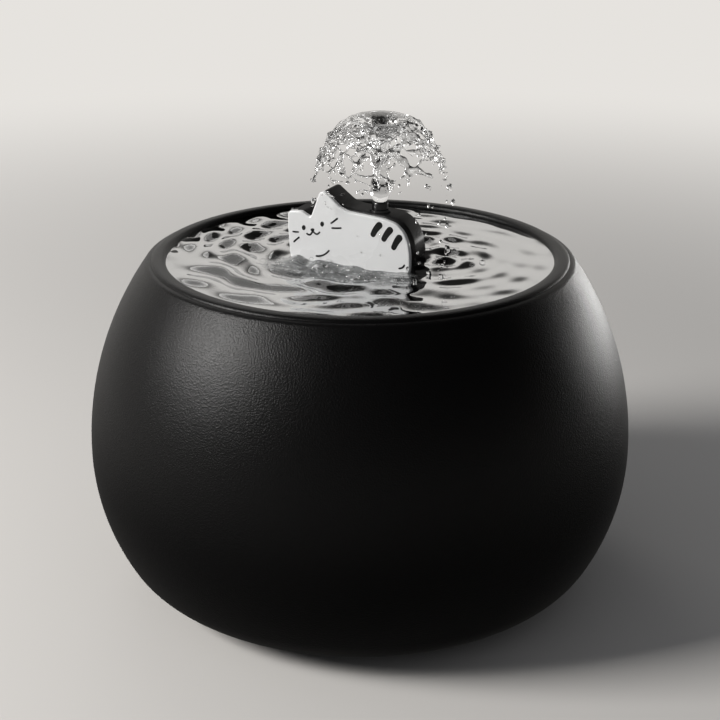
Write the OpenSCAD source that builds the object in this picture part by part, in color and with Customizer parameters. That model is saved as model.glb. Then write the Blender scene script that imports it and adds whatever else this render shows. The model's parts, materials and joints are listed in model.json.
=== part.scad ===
// Pet water fountain: a ball-shaped ceramic bowl on a wireless drive base, with a
// pump and filter case inside and a lying cat figure whose back carries the nozzle.
// Millimetres, +Z up, origin on the floor under the middle of the bowl, the cat faces -Y.

/* [Bowl] */
// Widest diameter of the bowl
bowl_d = 200; // [194:1:210]
// Height of the lip above the floor
bowl_h = 125.2; // [124.2:0.2:128.2]
// Height of the widest point
belly_z = 54; // [52:1:57]
// Radius of the side's curve below the widest point
lower_curve_r = 80; // [76:1:84]
// Radius of the turn from the side to the foot
foot_curve_r = 25; // [23:1:27]
// Gap between the floor and the bowl's foot
bowl_gap = 2.5; // [1.5:0.5:4]
// Thickness of the ceramic wall
bowl_wall = 5.4; // [4.6:0.2:6]
// Width of the lip
lip_w = 5.6; // [5.2:0.1:6]
// Width of the flat on top of the lip
lip_flat_w = 4; // [3.4:0.2:4.4]
// Diameter of the lip, measured at its middle
lip_d = 145.2; // [143.2:0.4:147.2]
// Distance from the lip's middle out to the side's curve
lip_setback = 4.7; // [4.5:0.1:5]
// Radius of the shoulder outside the lip
shoulder_r = 2.5; // [2:0.25:3]
// Drop from the lip's top to the shoulder
shoulder_drop = 1.2; // [1:0.1:1.6]
// Width of the lead's groove under the foot
groove_w = 8; // [6:1:12]
// Depth of the lead's groove under the foot
groove_h = 1.5; // [1:0.25:2]

/* [Water] */
// Drop from the lip to the water
freeboard = 2; // [1.6:0.1:3]
// Thickness of the modelled surface layer
water_t = 3; // [2:0.5:4]
// Height of the water bell above the nozzle
bell_h = 32; // [28:1:36]
// Outer diameter of the water bell
bell_d = 47; // [44:1:50]
// Radius of the flat on top of the water bell
bell_flat_r = 2; // [1.5:0.5:5]
// Height of the bell's lower edge above the nozzle
bell_edge_h = 5; // [3:0.5:7]
// Thickness of the sheet of falling water
bell_t = 0.9; // [0.6:0.1:1.4]
// Diameter of the rising column
column_d = 5; // [4:0.5:7]

/* [Drive base] */
// Diameter of the drive base
base_d = 100; // [92:1:104]
// Height of the drive base without its feet
base_h = 13.5; // [13:0.5:15]
// Wall of the drive base
base_wall = 1.8; // [1.4:0.2:2.2]
// Thickness of the bottom plate
plate_t = 2; // [1.8:0.2:2.6]
// Gap between the base and the bowl's recess
base_fit = 1; // [0.5:0.1:1.5]
// Height of the rubber feet below the plate
foot_h = 2.5; // [1.5:0.5:4]
// Diameter of a rubber foot
foot_d = 12; // [9:1:14]
// Diameter of the circle that the feet stand on
foot_circle_d = 80; // [76:1:82]
// Depth of the pocket that holds a foot
foot_pocket = 1; // [0.6:0.1:1.2]
// Thickness of the silicone ring under the bowl
seat_t = 1; // [0.6:0.1:1.6]
// Distance from the base's edge to the silicone ring
seat_inset = 4; // [3:0.5:8]
// Width of the silicone ring
seat_w = 6; // [4:1:9]

/* [Power] */
// Width of the plug's channel
channel_w = 12; // [10:1:14]
// Height of the plug's channel
channel_h = 8; // [7.8:0.1:8.4]
// Distance from the middle to the channel's inner end
channel_y = 16; // [14:1:20]
// Wall of the plug's channel
channel_wall = 1; // [0.8:0.1:1.4]
// Width of the power socket
socket_w = 6.2; // [5.6:0.2:8]
// Height of the power socket
socket_h = 5; // [4.6:0.1:5.2]
// Length of the power socket
socket_l = 9; // [7:1:11]
// Diameter of the socket's hole
socket_hole_d = 3.6; // [3.2:0.1:4]
// Diameter of the socket's centre pin
socket_pin_d = 1.3; // [1:0.1:1.6]
// Diameter of the circuit board
board_d = 66; // [62:1:68]
// Thickness of the circuit boards
board_t = 1.2; // [0.8:0.1:1.6]
// Width of the chips on the boards
chip_w = 7; // [5:0.5:8]
// Height of the chips on the boards
chip_h = 1.1; // [0.8:0.1:1.2]
// Height of the capacitor under the board
capacitor_h = 3; // [2:0.5:4]
// Width of a chip resistor
resistor_w = 1.2; // [0.8:0.1:1.4]
// Distance between the chip resistors
resistor_pitch = 4; // [3:0.5:5]
// Diameter of the sending and receiving coils
coil_d = 48; // [44:1:50]
// Hole in the middle of the coils
coil_hole_d = 18; // [16:1:22]
// Thickness of the sending coil
coil_t = 1; // [0.8:0.1:1.2]
// Thickness of the ferrite disc
ferrite_t = 0.6; // [0.4:0.1:0.8]

/* [Pump] */
// Diameter of the sealed pump housing
pump_d = 56; // [54:1:58]
// Height of the sealed pump housing
pump_h = 20; // [19:0.5:22]
// Wall of the pump housing
pump_wall = 1.6; // [1.2:0.1:1.8]
// Gap between the pump housing and the bowl's floor
pump_gap = 0.4; // [0.3:0.1:0.8]
// Width of the pump housing's flange
flange_w = 3; // [2:0.5:4]
// Diameter of the rotor's well
well_d = 14.4; // [14:0.2:15]
// Wall of the rotor's well
well_wall = 0.8; // [0.6:0.1:1]
// Diameter of the rotor magnet
magnet_d = 12.4; // [11.6:0.2:12.8]
// Length of the rotor magnet
magnet_l = 9; // [8:0.5:9.5]
// Diameter of the ceramic shaft
shaft_d = 2; // [1.6:0.1:2.4]
// Diameter of the impeller's hub
hub_d = 4.8; // [4.4:0.2:5.2]
// Diameter of the impeller
impeller_d = 17; // [16:0.5:18]
// Number of impeller blades
blade_count = 6; // [5:1:8]
// Height of the impeller blades
blade_h = 3.4; // [2.6:0.2:3.8]
// Thickness of an impeller blade
blade_t = 0.8; // [0.6:0.1:1]
// Diameter of the pump chamber
chamber_d = 23; // [22:0.5:24]
// Height of the pump chamber
chamber_h = 6.4; // [6:0.1:7]
// Wall of the chamber's cover
cover_wall = 1.6; // [1.3:0.1:2]
// Diameter of the chamber's inlet
inlet_d = 8; // [7:0.2:8]
// Number of stator teeth
tooth_count = 6; // [6:3:9]

/* [Riser] */
// Outer diameter of the riser tube
riser_d = 6.5; // [6:0.1:6.8]
// Wall of the riser tube
riser_wall = 1; // [0.8:0.1:1.2]
// Offset of the riser to the right
riser_x = 8.6; // [8.4:0.1:9]
// Offset of the riser to the front
riser_front = 1.5; // [1.2:0.1:1.8]
// Wall of the socket that holds the riser
socket_wall = 1.3; // [1.1:0.1:1.4]
// Depth of the socket that holds the riser
socket_depth = 6; // [4:0.5:8]
// Height of the silicone sleeve on the riser
sleeve_h = 4; // [3:0.5:6]

/* [Filter case] */
// Outer diameter of the filter case
case_d = 84; // [80:1:92]
// Height of the filter case
case_h = 44.6; // [44:0.5:52]
// Wall of the filter case
case_wall = 2; // [1.4:0.2:2.6]
// Thickness of the silicone ring under the case
pad_t = 1; // [0.6:0.1:1.6]
// Thickness of the case's lid
lid_t = 2.4; // [1.8:0.2:3]
// Overhang of the lid's edge
lid_lap = 1.5; // [1:0.5:3]
// Depth of the lid's skirt
skirt_h = 4; // [3:0.5:6]
// Number of slots in the lid
slot_count = 28; // [20:1:32]
// Width of a slot in the lid
slot_w = 2.2; // [1.6:0.1:2.6]
// Height of the filter cage
cage_h = 10; // [8:0.5:12]
// Wall of the filter cage
cage_wall = 1.4; // [1:0.1:1.8]
// Thickness of the carbon pad
carbon_t = 4.2; // [3:0.2:5]

/* [Cat figure] */
// Length of the cat from face to tail
cat_l = 48.1; // [47.1:0.2:50.1]
// Depth of the cat from front to back
cat_depth = 13; // [12:0.5:14]
// Thickness of the white front
face_t = 2; // [1.6:0.1:2.4]
// Depth of the cat's underside below the water
cat_draft = 5.6; // [5:0.2:6.6]
// Height of the taller ear above the water
ear_h = 24.3; // [23.3:0.2:26.3]
// Wall of the cat's rear shell
cat_wall = 1.8; // [1.4:0.1:2]
// Rounding of the cat's outer corners
cat_round = 2.2; // [1.8:0.2:2.6]
// Rounding of the cat's hollow corners
cat_hollow_round = 1.4; // [1:0.2:2]
// Diameter of the stem's foot on the lid
stem_foot_d = 30; // [26:1:34]
// Diameter of the stem's neck under the cat
stem_neck_d = 12.6; // [11.6:0.2:13]
// Wall of the stem
stem_wall = 1.6; // [1.2:0.2:2]
// Diameter of the nozzle's neck
nozzle_d = 5.8; // [5.4:0.1:6.4]
// Height of the nozzle above its seat
nozzle_h = 3.6; // [3:0.2:5]
// Thickness of the nozzle's flange
nozzle_flange_t = 0.8; // [0.6:0.1:1]
// Length of the nozzle's plug in the cat
plug_l = 5; // [4:0.5:6]
// Diameter of the nozzle's mouth
mouth_d = 2.8; // [2:0.2:3.4]

/* [Screws] */
// Thread diameter of the base's screws
screw_d = 2.2; // [1.8:0.1:2.4]
// Head diameter of the base's screws
screw_head_d = 4.4; // [3.8:0.2:4.8]
// Head height of the base's screws
screw_head_h = 1.1; // [0.8:0.1:1.4]
// Length of the base's screws
screw_l = 8; // [6:0.5:9]
// Thread diameter of the chamber cover's screws
cover_screw_d = 1.8; // [1.6:0.1:2]
// Head diameter of the chamber cover's screws
cover_head_d = 3.6; // [3.2:0.1:3.8]
// Head height of the chamber cover's screws
cover_head_h = 1.2; // [0.8:0.1:1.4]
// Thread length of the chamber cover's screws
cover_screw_l = 6.6; // [5:0.2:6.8]
// Radius of the circle of the chamber cover's screws
cover_screw_circle_r = 17; // [16.5:0.1:17.5]

/* [Fits] */
// Radial gap of parts that slide on the riser
slide_gap = 0.05; // [0.03:0.01:0.08]
// Radial gap of a loose fit
loose_gap = 0.3; // [0.2:0.05:0.5]
// Radial gap round a screw
screw_gap = 0.15; // [0.1:0.05:0.25]

/* [Hidden] */
$fn = 96;
eps = 0.01;
// Shift that lets two arcs of a profile cross where they would only touch
arc_lap = 0.02;

// Bowl profile, in the plane of radius and height
bowl_r = bowl_d / 2;
lip_r = lip_d / 2;
lip_z = bowl_h - sqrt(pow(lip_w, 2) - pow(lip_flat_w, 2)) / 2;
upper_drift = bowl_r - lip_r - lip_setback;
upper_curve_r = (pow(upper_drift, 2) + pow(lip_z - belly_z, 2)) / (2 * upper_drift);
foot_z = bowl_gap + foot_curve_r;
foot_run = lower_curve_r - foot_curve_r;
foot_x = bowl_r - lower_curve_r + sqrt(pow(foot_run, 2) - pow(belly_z - foot_z, 2)) + arc_lap;
roll_top = bowl_h - shoulder_drop;
roll_z = roll_top - shoulder_r;
roll_dz = roll_z - belly_z;
roll_x = bowl_r - upper_curve_r + sqrt(pow(upper_curve_r - shoulder_r, 2) - pow(roll_dz, 2)) + arc_lap;
roll_join_z = belly_z + roll_dz * upper_curve_r / (upper_curve_r - shoulder_r);
floor_z = bowl_gap + bowl_wall;

// Levels, from the floor up
base_top = foot_h + base_h;
recess_z = base_top + seat_t;
recess_r = base_d / 2 + base_fit;
pedestal_z = recess_z + bowl_wall;
plate_top = foot_h + plate_t;
board_z = plate_top + socket_h;
socket_z = plate_top + socket_h / 2;
coil_z = base_top - base_wall - coil_t;
ferrite_z = coil_z - ferrite_t;
case_z = pedestal_z + pad_t;
case_top = case_z + case_h;
lid_top = case_top + lid_t;
case_floor_t = 1.6;
pump_z = pedestal_z + pump_gap;
pump_top = pump_z + pump_h;
case_floor_top = case_z + case_floor_t;
motor_coil_z = pump_z + pump_wall + 0.1;
motor_board_z = motor_coil_z + coil_t + 0.4;
well_floor_z = pump_z + 6.2;
well_floor_t = 1.2;
well_z = well_floor_z + well_floor_t;
bush_h = 1;
rotor_z = well_z + bush_h + 0.4;
magnet_z = rotor_z + 0.4;
disc_z = pump_top + 0.8;
disc_t = 1;
blade_top = disc_z + disc_t + blade_h;
chamber_top = pump_top + chamber_h;
cover_top = chamber_top + cover_wall;
outlet_top = cover_top + 7;
riser_z = outlet_top - socket_depth;
water_z = bowl_h - freeboard;
cat_z = water_z - cat_draft;

// Riser, nozzle and cat
riser_r = riser_d / 2;
riser_bore_r = riser_r - riser_wall;
riser_y = -riser_front;
sleeve_r = riser_r + slide_gap + socket_wall;
cat_back = cat_depth / 2 - riser_front;
cat_front = cat_back - cat_depth;
cat_left = -cat_l / 2 - 1.1;
shell_front = cat_front + face_t;
back_h = ear_h - 6.6;
seat_z = water_z + back_h + 0.7;
riser_top = seat_z - plug_l - 0.4;
nozzle_top = seat_z + nozzle_h;
guide_r = riser_r + slide_gap + 1;

// Fasteners and small parts
screw_r = screw_d / 2;
screw_head_r = screw_head_d / 2;
screw_circle_r = base_d / 2 - base_wall - 3.2;
cover_screw_r = cover_screw_d / 2;
cover_flange_t = 1.6;
cover_hole_l = cover_screw_l - cover_flange_t + 0.5;
cover_boss_l = cover_hole_l + 1.5;
cover_flange_r = cover_screw_circle_r + 3;
case_r = case_d / 2;
case_inner_r = case_r - case_wall;
skirt_r = case_inner_r - loose_gap;
skirt_t = 1.5;
cage_r = case_inner_r - 2 * loose_gap;
cage_top = case_top - skirt_h;
cage_z = cage_top - cage_h;
cage_tube_r = sleeve_r + 2 * loose_gap;
cage_floor_t = 1.2;
pad_r = cage_r - cage_wall - 0.2;
stator_r = 14;
stator_ring_w = 2;
stator_h = 7;
stator_z = well_z + 1.4;

// A ring from height z up by h
module ring(outer_r, inner_r, z, h) {
    translate([0, 0, z])
        linear_extrude(h)
            difference() {
                circle(outer_r);
                circle(inner_r);
            }
}

// Places its children on the riser's axis
module on_riser() {
    translate([riser_x, riser_y, 0])
        children();
}

// Places its children evenly on a circle
module around(count, radius, start = 0) {
    for (i = [0 : count - 1])
        rotate(start + i * 360 / count)
            translate([radius, 0, 0])
                children();
}

// The half plane between two heights
module band(low, high) {
    translate([0, low])
        square([2 * bowl_r, high - low]);
}

// Outside of the bowl's wall, thinned by inset for its inside
module bowl_curve(inset, bottom, top) {
    join_z = belly_z - (belly_z - foot_z) * (lower_curve_r - inset) / foot_run;
    intersection() {
        translate([bowl_r - upper_curve_r, belly_z])
            circle(upper_curve_r - inset, $fn = 240);
        band(belly_z, top);
    }
    intersection() {
        translate([bowl_r - lower_curve_r, belly_z])
            circle(lower_curve_r - inset, $fn = 200);
        band(join_z, belly_z);
    }
    intersection() {
        translate([foot_x, foot_z])
            circle(foot_curve_r - inset);
        translate([foot_x - foot_curve_r, bottom])
            square([2 * foot_curve_r, join_z + 3 - bottom]);
    }
    translate([0, bottom])
        square([foot_x, join_z + 1 - bottom]);
}

// The rounded shoulder that the side ends in, outside the lip
module shoulder_roll() {
    low = roll_z - shoulder_r / 2;
    intersection() {
        translate([roll_x, roll_z])
            circle(shoulder_r);
        translate([roll_x - shoulder_r, low])
            square([2 * shoulder_r, roll_top - low]);
    }
    translate([lip_r, low])
        square([roll_x - lip_r, roll_top - low]);
}

// The round lip with the flat on its top
module lip_section() {
    intersection() {
        translate([lip_r, lip_z])
            circle(lip_w / 2);
        band(0, bowl_h);
    }
}

// The raised floor that the drive base stands under
module pedestal_section() {
    polygon([
        [0, bowl_gap],
        [recess_r + bowl_wall + 5, bowl_gap],
        [recess_r + bowl_wall + 5, floor_z],
        [recess_r + bowl_wall - 1, pedestal_z],
        [0, pedestal_z]
    ]);
}

module bowl() {
    color([0.05, 0.05, 0.055])
        difference() {
            rotate_extrude($fn = 180)
                difference() {
                    union() {
                        difference() {
                            union() {
                                bowl_curve(0, bowl_gap, roll_join_z);
                                shoulder_roll();
                            }
                            bowl_curve(bowl_wall, floor_z, bowl_h);
                        }
                        lip_section();
                        pedestal_section();
                    }
                    square([recess_r, recess_z]);
                }
            translate([-groove_w / 2, recess_r - 2, bowl_gap - 1])
                cube([groove_w, bowl_r - recess_r, groove_h + 1]);
        }
}

module water_surface() {
    color([0.62, 0.64, 0.66])
        difference() {
            rotate_extrude($fn = 180)
                difference() {
                    intersection() {
                        bowl_curve(bowl_wall + loose_gap, floor_z, water_z);
                        band(water_z - water_t, water_z);
                    }
                    translate([lip_r, lip_z])
                        circle(lip_w / 2 + loose_gap);
                }
            translate([cat_left - loose_gap, cat_front - loose_gap, cat_z])
                cube([cat_l + 2 * loose_gap, cat_depth + 2 * loose_gap, cat_draft + 1]);
        }
}

// Drive base

module base_housing() {
    boss_r = screw_r + 1.7;
    color([0.08, 0.08, 0.08])
        union() {
            difference() {
                translate([0, 0, plate_top])
                    cylinder(r = base_d / 2, h = base_top - plate_top);
                translate([0, 0, plate_top - 1])
                    cylinder(r = base_d / 2 - base_wall, h = base_top - base_wall - plate_top + 1);
                translate([-channel_w / 2 - channel_wall - loose_gap, base_d / 2 - base_wall - 2, plate_top - 1])
                    cube([channel_w + 2 * channel_wall + 2 * loose_gap, base_wall + 4,
                        foot_h + channel_h + channel_wall + loose_gap - plate_top + 1]);
            }
            around(3, screw_circle_r, 30)
                difference() {
                    translate([0, 0, plate_top])
                        cylinder(r = boss_r, h = base_top - base_wall / 2 - plate_top);
                    translate([0, 0, plate_top - 1])
                        cylinder(r = screw_r + screw_gap, h = screw_l);
                }
        }
}

module base_plate() {
    channel_l = base_d / 2 - channel_y;
    color([0.1, 0.1, 0.1])
        difference() {
            union() {
                translate([0, 0, foot_h])
                    cylinder(r = base_d / 2, h = plate_t);
                around(4, board_d / 2 - 3, 22.5)
                    translate([0, 0, plate_top - eps])
                        cylinder(r = 2, h = board_z - plate_top + eps);
                intersection() {
                    translate([-channel_w / 2 - channel_wall, channel_y - channel_wall, foot_h])
                        cube([channel_w + 2 * channel_wall, channel_l + channel_wall, channel_h + channel_wall]);
                    translate([0, 0, foot_h])
                        cylinder(r = base_d / 2, h = base_h);
                }
            }
            translate([-channel_w / 2, channel_y, foot_h - 1])
                cube([channel_w, channel_l + 1, channel_h + 1]);
            translate([-socket_w / 2 - loose_gap, channel_y - channel_wall - 1, plate_top])
                cube([socket_w + 2 * loose_gap, channel_wall + 2, socket_h + loose_gap]);
            around(4, foot_circle_d / 2, 45)
                translate([0, 0, foot_h - 1])
                    cylinder(r = foot_d / 2 + loose_gap / 2, h = foot_pocket + 1);
            around(3, screw_circle_r, 30)
                translate([0, 0, foot_h - 1]) {
                    cylinder(r = screw_r + screw_gap, h = plate_t + 2);
                    cylinder(r = screw_head_r + screw_gap, h = screw_head_h + 1);
                }
        }
}

module base_screws() {
    color([0.7, 0.7, 0.72])
        around(3, screw_circle_r, 30)
            difference() {
                translate([0, 0, foot_h]) {
                    cylinder(r = screw_head_r, h = screw_head_h);
                    cylinder(r = screw_r, h = screw_l);
                }
                translate([-screw_head_r * 0.6, -0.3, foot_h - 1])
                    cube([screw_head_r * 1.2, 0.6, 1.6]);
                translate([-0.3, -screw_head_r * 0.6, foot_h - 1])
                    cube([0.6, screw_head_r * 1.2, 1.6]);
            }
}

module rubber_feet() {
    color([0.13, 0.13, 0.13])
        around(4, foot_circle_d / 2, 45)
            rotate_extrude()
                difference() {
                    square([foot_d / 2, foot_h + foot_pocket]);
                    translate([foot_d / 2, 0])
                        rotate(45)
                            square(1.2, center = true);
                }
}

module bowl_seat_ring() {
    color([0.25, 0.25, 0.26])
        ring(base_d / 2 - seat_inset, base_d / 2 - seat_inset - seat_w, base_top, seat_t);
}

module driver_board() {
    color([0.05, 0.3, 0.18])
        translate([0, 0, board_z])
            linear_extrude(board_t)
                difference() {
                    circle(d = board_d);
                    translate([-channel_w / 2 - channel_wall - 0.5, channel_y - channel_wall - 0.5])
                        square([channel_w + 2 * channel_wall + 1, board_d]);
                }
}

// Two chips and five chip resistors on the board, a crystal and a capacitor under it
module board_parts() {
    top = board_z + board_t;
    color([0.12, 0.12, 0.13]) {
        translate([-3 * chip_w, -chip_w, top])
            cube([chip_w, chip_w, chip_h]);
        translate([2 * chip_w, -chip_w, top])
            cube([chip_w, chip_w, chip_h]);
        translate([2 * chip_w, chip_w / 2, board_z - chip_h])
            cube([chip_w / 2, chip_w, chip_h]);
        translate([-2.5 * chip_w, chip_w, board_z - capacitor_h])
            cylinder(d = chip_w, h = capacitor_h);
        for (i = [-2 : 2])
            translate([i * resistor_pitch - resistor_w, -3 * chip_w, top])
                cube([2 * resistor_w, resistor_w, resistor_w / 2]);
    }
}

module power_socket() {
    color([0.16, 0.16, 0.17])
        difference() {
            translate([-socket_w / 2, channel_y - channel_wall - socket_l, plate_top])
                cube([socket_w, socket_l + channel_wall, socket_h]);
            translate([0, channel_y + 1, socket_z])
                rotate([90, 0, 0])
                    ring(socket_hole_d / 2, socket_pin_d / 2, 0, socket_l);
        }
}

module sending_coil() {
    color([0.72, 0.4, 0.2])
        ring(coil_d / 2, coil_hole_d / 2, coil_z, coil_t);
}

module ferrite_disc() {
    color([0.2, 0.2, 0.21])
        translate([0, 0, ferrite_z])
            cylinder(d = coil_d + 4, h = ferrite_t);
}

// Pump

module case_pad() {
    color([0.85, 0.86, 0.87])
        ring(case_r - 2.5, pump_d / 2 + flange_w + 0.5, pedestal_z, pad_t);
}

module filter_case() {
    color([0.16, 0.16, 0.17])
        difference() {
            translate([0, 0, case_z])
                cylinder(r = case_r, h = case_h);
            translate([0, 0, case_floor_top])
                cylinder(r = case_inner_r, h = case_h);
            translate([0, 0, case_z - 1])
                cylinder(r = pump_d / 2 + loose_gap, h = case_floor_t + 2);
        }
}

module pump_housing() {
    inner_r = pump_d / 2 - pump_wall;
    well_outer_r = well_d / 2 + well_wall;
    color([0.09, 0.09, 0.1])
        difference() {
            union() {
                translate([0, 0, pump_z])
                    cylinder(d = pump_d, h = pump_h);
                translate([0, 0, case_floor_top])
                    cylinder(r = pump_d / 2 + flange_w, h = 1.5);
            }
            difference() {
                translate([0, 0, pump_z + pump_wall])
                    cylinder(r = inner_r, h = pump_h - 2 * pump_wall);
                translate([0, 0, well_floor_z])
                    cylinder(r = well_outer_r, h = pump_h);
                around(3, cover_screw_circle_r, 150)
                    translate([0, 0, pump_top - cover_boss_l])
                        cylinder(r = cover_screw_r + 1.3, h = cover_boss_l);
            }
            difference() {
                translate([0, 0, well_z])
                    cylinder(d = well_d, h = pump_h);
                translate([0, 0, well_z - 1])
                    cylinder(r = shaft_d / 2 + 1.5, h = bush_h + 1);
            }
            translate([0, 0, well_z])
                cylinder(r = shaft_d / 2 + 0.7, h = bush_h + 1);
            around(3, cover_screw_circle_r, 150)
                translate([0, 0, pump_top - cover_hole_l])
                    cylinder(r = cover_screw_r + screw_gap, h = cover_hole_l + 1);
        }
}

module receiving_coil() {
    color([0.75, 0.42, 0.2])
        ring(coil_d / 2, coil_hole_d / 2, motor_coil_z, coil_t);
}

module motor_board() {
    color([0.05, 0.28, 0.2])
        union() {
            translate([0, 0, motor_board_z])
                cylinder(d = coil_d, h = board_t);
            around(5, 16, 20)
                translate([-2, -1.5, motor_board_z + board_t - eps])
                    cube([4, 3, 1 + eps]);
        }
}

module stator_core() {
    color([0.55, 0.56, 0.58])
        translate([0, 0, stator_z])
            linear_extrude(stator_h)
                union() {
                    difference() {
                        circle(stator_r);
                        circle(stator_r - stator_ring_w);
                    }
                    for (i = [0 : tooth_count - 1])
                        rotate(i * 360 / tooth_count)
                            translate([well_d / 2 + well_wall + 0.3, -1])
                                square([stator_r - stator_ring_w / 2 - well_d / 2 - well_wall - 0.3, 2]);
                }
}

module stator_coils() {
    inner = well_d / 2 + well_wall + 0.8;
    reach = stator_r - stator_ring_w - 0.4 - inner;
    color([0.78, 0.45, 0.2])
        for (i = [0 : tooth_count - 1])
            rotate(i * 360 / tooth_count)
                difference() {
                    translate([inner, -2.4, stator_z - 1.2])
                        cube([reach, 4.8, stator_h + 2.4]);
                    translate([inner - 1, -1.1, stator_z - 0.1])
                        cube([reach + 2, 2.2, stator_h + 0.2]);
                }
}

module rotor_shaft() {
    color([0.92, 0.91, 0.88])
        translate([0, 0, well_z])
            cylinder(d = shaft_d, h = cover_top - well_z);
}

module shaft_bushes() {
    color([0.2, 0.2, 0.2]) {
        ring(shaft_d / 2 + 0.6, shaft_d / 2, well_z, bush_h);
        ring(shaft_d / 2 + 0.6, shaft_d / 2, chamber_top, cover_wall);
    }
}

module chamber_cover() {
    color([0.11, 0.11, 0.12])
        difference() {
            union() {
                translate([0, 0, pump_top])
                    cylinder(r = cover_flange_r, h = cover_flange_t);
                translate([0, 0, pump_top])
                    cylinder(r = chamber_d / 2 + cover_wall + 0.4, h = cover_top - pump_top);
                on_riser()
                    translate([0, 0, pump_top])
                        cylinder(r = sleeve_r, h = outlet_top - pump_top);
            }
            translate([0, 0, pump_top - 1])
                cylinder(d = chamber_d, h = chamber_h + 1);
            difference() {
                translate([0, 0, chamber_top - 1])
                    cylinder(d = inlet_d, h = cover_wall + 2);
                translate([0, 0, chamber_top])
                    cylinder(r = shaft_d / 2 + 1.4, h = cover_wall);
                for (i = [0 : 2])
                    rotate(60 + i * 120)
                        translate([0, -0.5, chamber_top])
                            cube([inlet_d, 1, cover_wall]);
            }
            translate([0, 0, chamber_top - 1])
                cylinder(r = shaft_d / 2 + 0.6, h = cover_wall + 2);
            on_riser() {
                translate([0, 0, pump_top + 2])
                    cylinder(r = riser_bore_r, h = outlet_top);
                translate([0, 0, riser_z])
                    cylinder(r = riser_r + slide_gap, h = outlet_top);
            }
            around(3, cover_screw_circle_r, 150)
                translate([0, 0, pump_top - 1])
                    cylinder(r = cover_screw_r + screw_gap, h = cover_flange_t + 2);
        }
}

module cover_screws() {
    color([0.7, 0.7, 0.72])
        around(3, cover_screw_circle_r, 150) {
            translate([0, 0, pump_top + cover_flange_t - cover_screw_l])
                cylinder(r = cover_screw_r, h = cover_screw_l);
            translate([0, 0, pump_top + cover_flange_t])
                cylinder(d = cover_head_d, h = cover_head_h);
        }
}

module riser_tube() {
    color([0.75, 0.77, 0.78])
        on_riser()
            ring(riser_r, riser_bore_r, riser_z, riser_top - riser_z);
}

module riser_sleeve() {
    color([0.8, 0.8, 0.8])
        on_riser()
            ring(sleeve_r, riser_r, outlet_top, sleeve_h);
}

// Rotor

module rotor_magnet() {
    color([0.22, 0.22, 0.24])
        ring(magnet_d / 2, hub_d / 2, magnet_z, magnet_l);
}

// A curved impeller blade, seen from above
module blade() {
    intersection() {
        difference() {
            circle(impeller_d / 2 - 0.3);
            circle(hub_d / 2 - 0.3);
        }
        translate([0, impeller_d / 2 - 1])
            difference() {
                circle(impeller_d / 2 + blade_t / 2 - 1);
                circle(impeller_d / 2 - blade_t / 2 - 1);
            }
        translate([0, -1])
            square(impeller_d);
    }
}

module impeller() {
    color([0.92, 0.92, 0.9])
        difference() {
            union() {
                translate([0, 0, rotor_z])
                    cylinder(d = hub_d, h = blade_top - rotor_z);
                translate([0, 0, disc_z])
                    cylinder(d = impeller_d, h = disc_t);
                translate([0, 0, disc_z])
                    linear_extrude(disc_t + blade_h)
                        for (i = [0 : blade_count - 1])
                            rotate(i * 360 / blade_count)
                                blade();
            }
            translate([0, 0, rotor_z - 1])
                cylinder(r = shaft_d / 2 + slide_gap, h = blade_top - rotor_z + 2);
        }
}

// Lid and filter

module case_lid() {
    slot_in = stem_foot_d / 2 + riser_x + 1;
    slot_out = skirt_r - skirt_t - 1;
    color([0.14, 0.14, 0.15])
        difference() {
            union() {
                translate([0, 0, case_top])
                    cylinder(r = case_r + lid_lap, h = lid_t);
                ring(skirt_r, skirt_r - skirt_t, cage_top, skirt_h + eps);
            }
            on_riser()
                translate([0, 0, case_top - 1])
                    cylinder(r = riser_r + loose_gap, h = lid_t + 2);
            for (i = [0 : slot_count - 1])
                rotate((i + 0.5) * 360 / slot_count)
                    translate([slot_in, -slot_w / 2, case_top - 1])
                        cube([slot_out - slot_in, slot_w, lid_t + 2]);
            for (i = [0 : 8])
                rotate(105 + i * 20)
                    translate([10, -slot_w / 2, case_top - 1])
                        cube([slot_in - 12.5, slot_w, lid_t + 2]);
        }
}

module filter_cage() {
    color([0.18, 0.18, 0.19])
        union() {
            ring(cage_r, cage_r - cage_wall, cage_z, cage_h);
            difference() {
                translate([0, 0, cage_z])
                    linear_extrude(cage_floor_t)
                        union() {
                            for (r = [10 : 9 : cage_r - 4])
                                difference() {
                                    circle(r + 0.8);
                                    circle(r - 0.8);
                                }
                            for (i = [0 : 3])
                                rotate(22.5 + i * 45)
                                    square([2 * cage_r - cage_wall, 1.8], center = true);
                            translate([riser_x, riser_y])
                                circle(cage_tube_r + 1.2);
                        }
                on_riser()
                    translate([0, 0, cage_z - 1])
                        cylinder(r = cage_tube_r, h = cage_floor_t + 2);
            }
            on_riser()
                ring(cage_tube_r + 1.2, cage_tube_r, cage_z, cage_h);
        }
}

// A filter pad from height z up by h, with a hole for the riser
module pad(z, h) {
    difference() {
        translate([0, 0, z])
            cylinder(r = pad_r, h = h);
        on_riser()
            translate([0, 0, z - 1])
                cylinder(r = cage_tube_r + 1.4, h = h + 2);
    }
}

module foam_pad() {
    z = cage_z + cage_floor_t + carbon_t + 0.2;
    color([0.15, 0.16, 0.18])
        pad(z, case_top - 0.2 - z);
}

module carbon_pad() {
    color([0.9, 0.9, 0.88])
        pad(cage_z + cage_floor_t + 0.1, carbon_t);
}

// Cat figure

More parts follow.
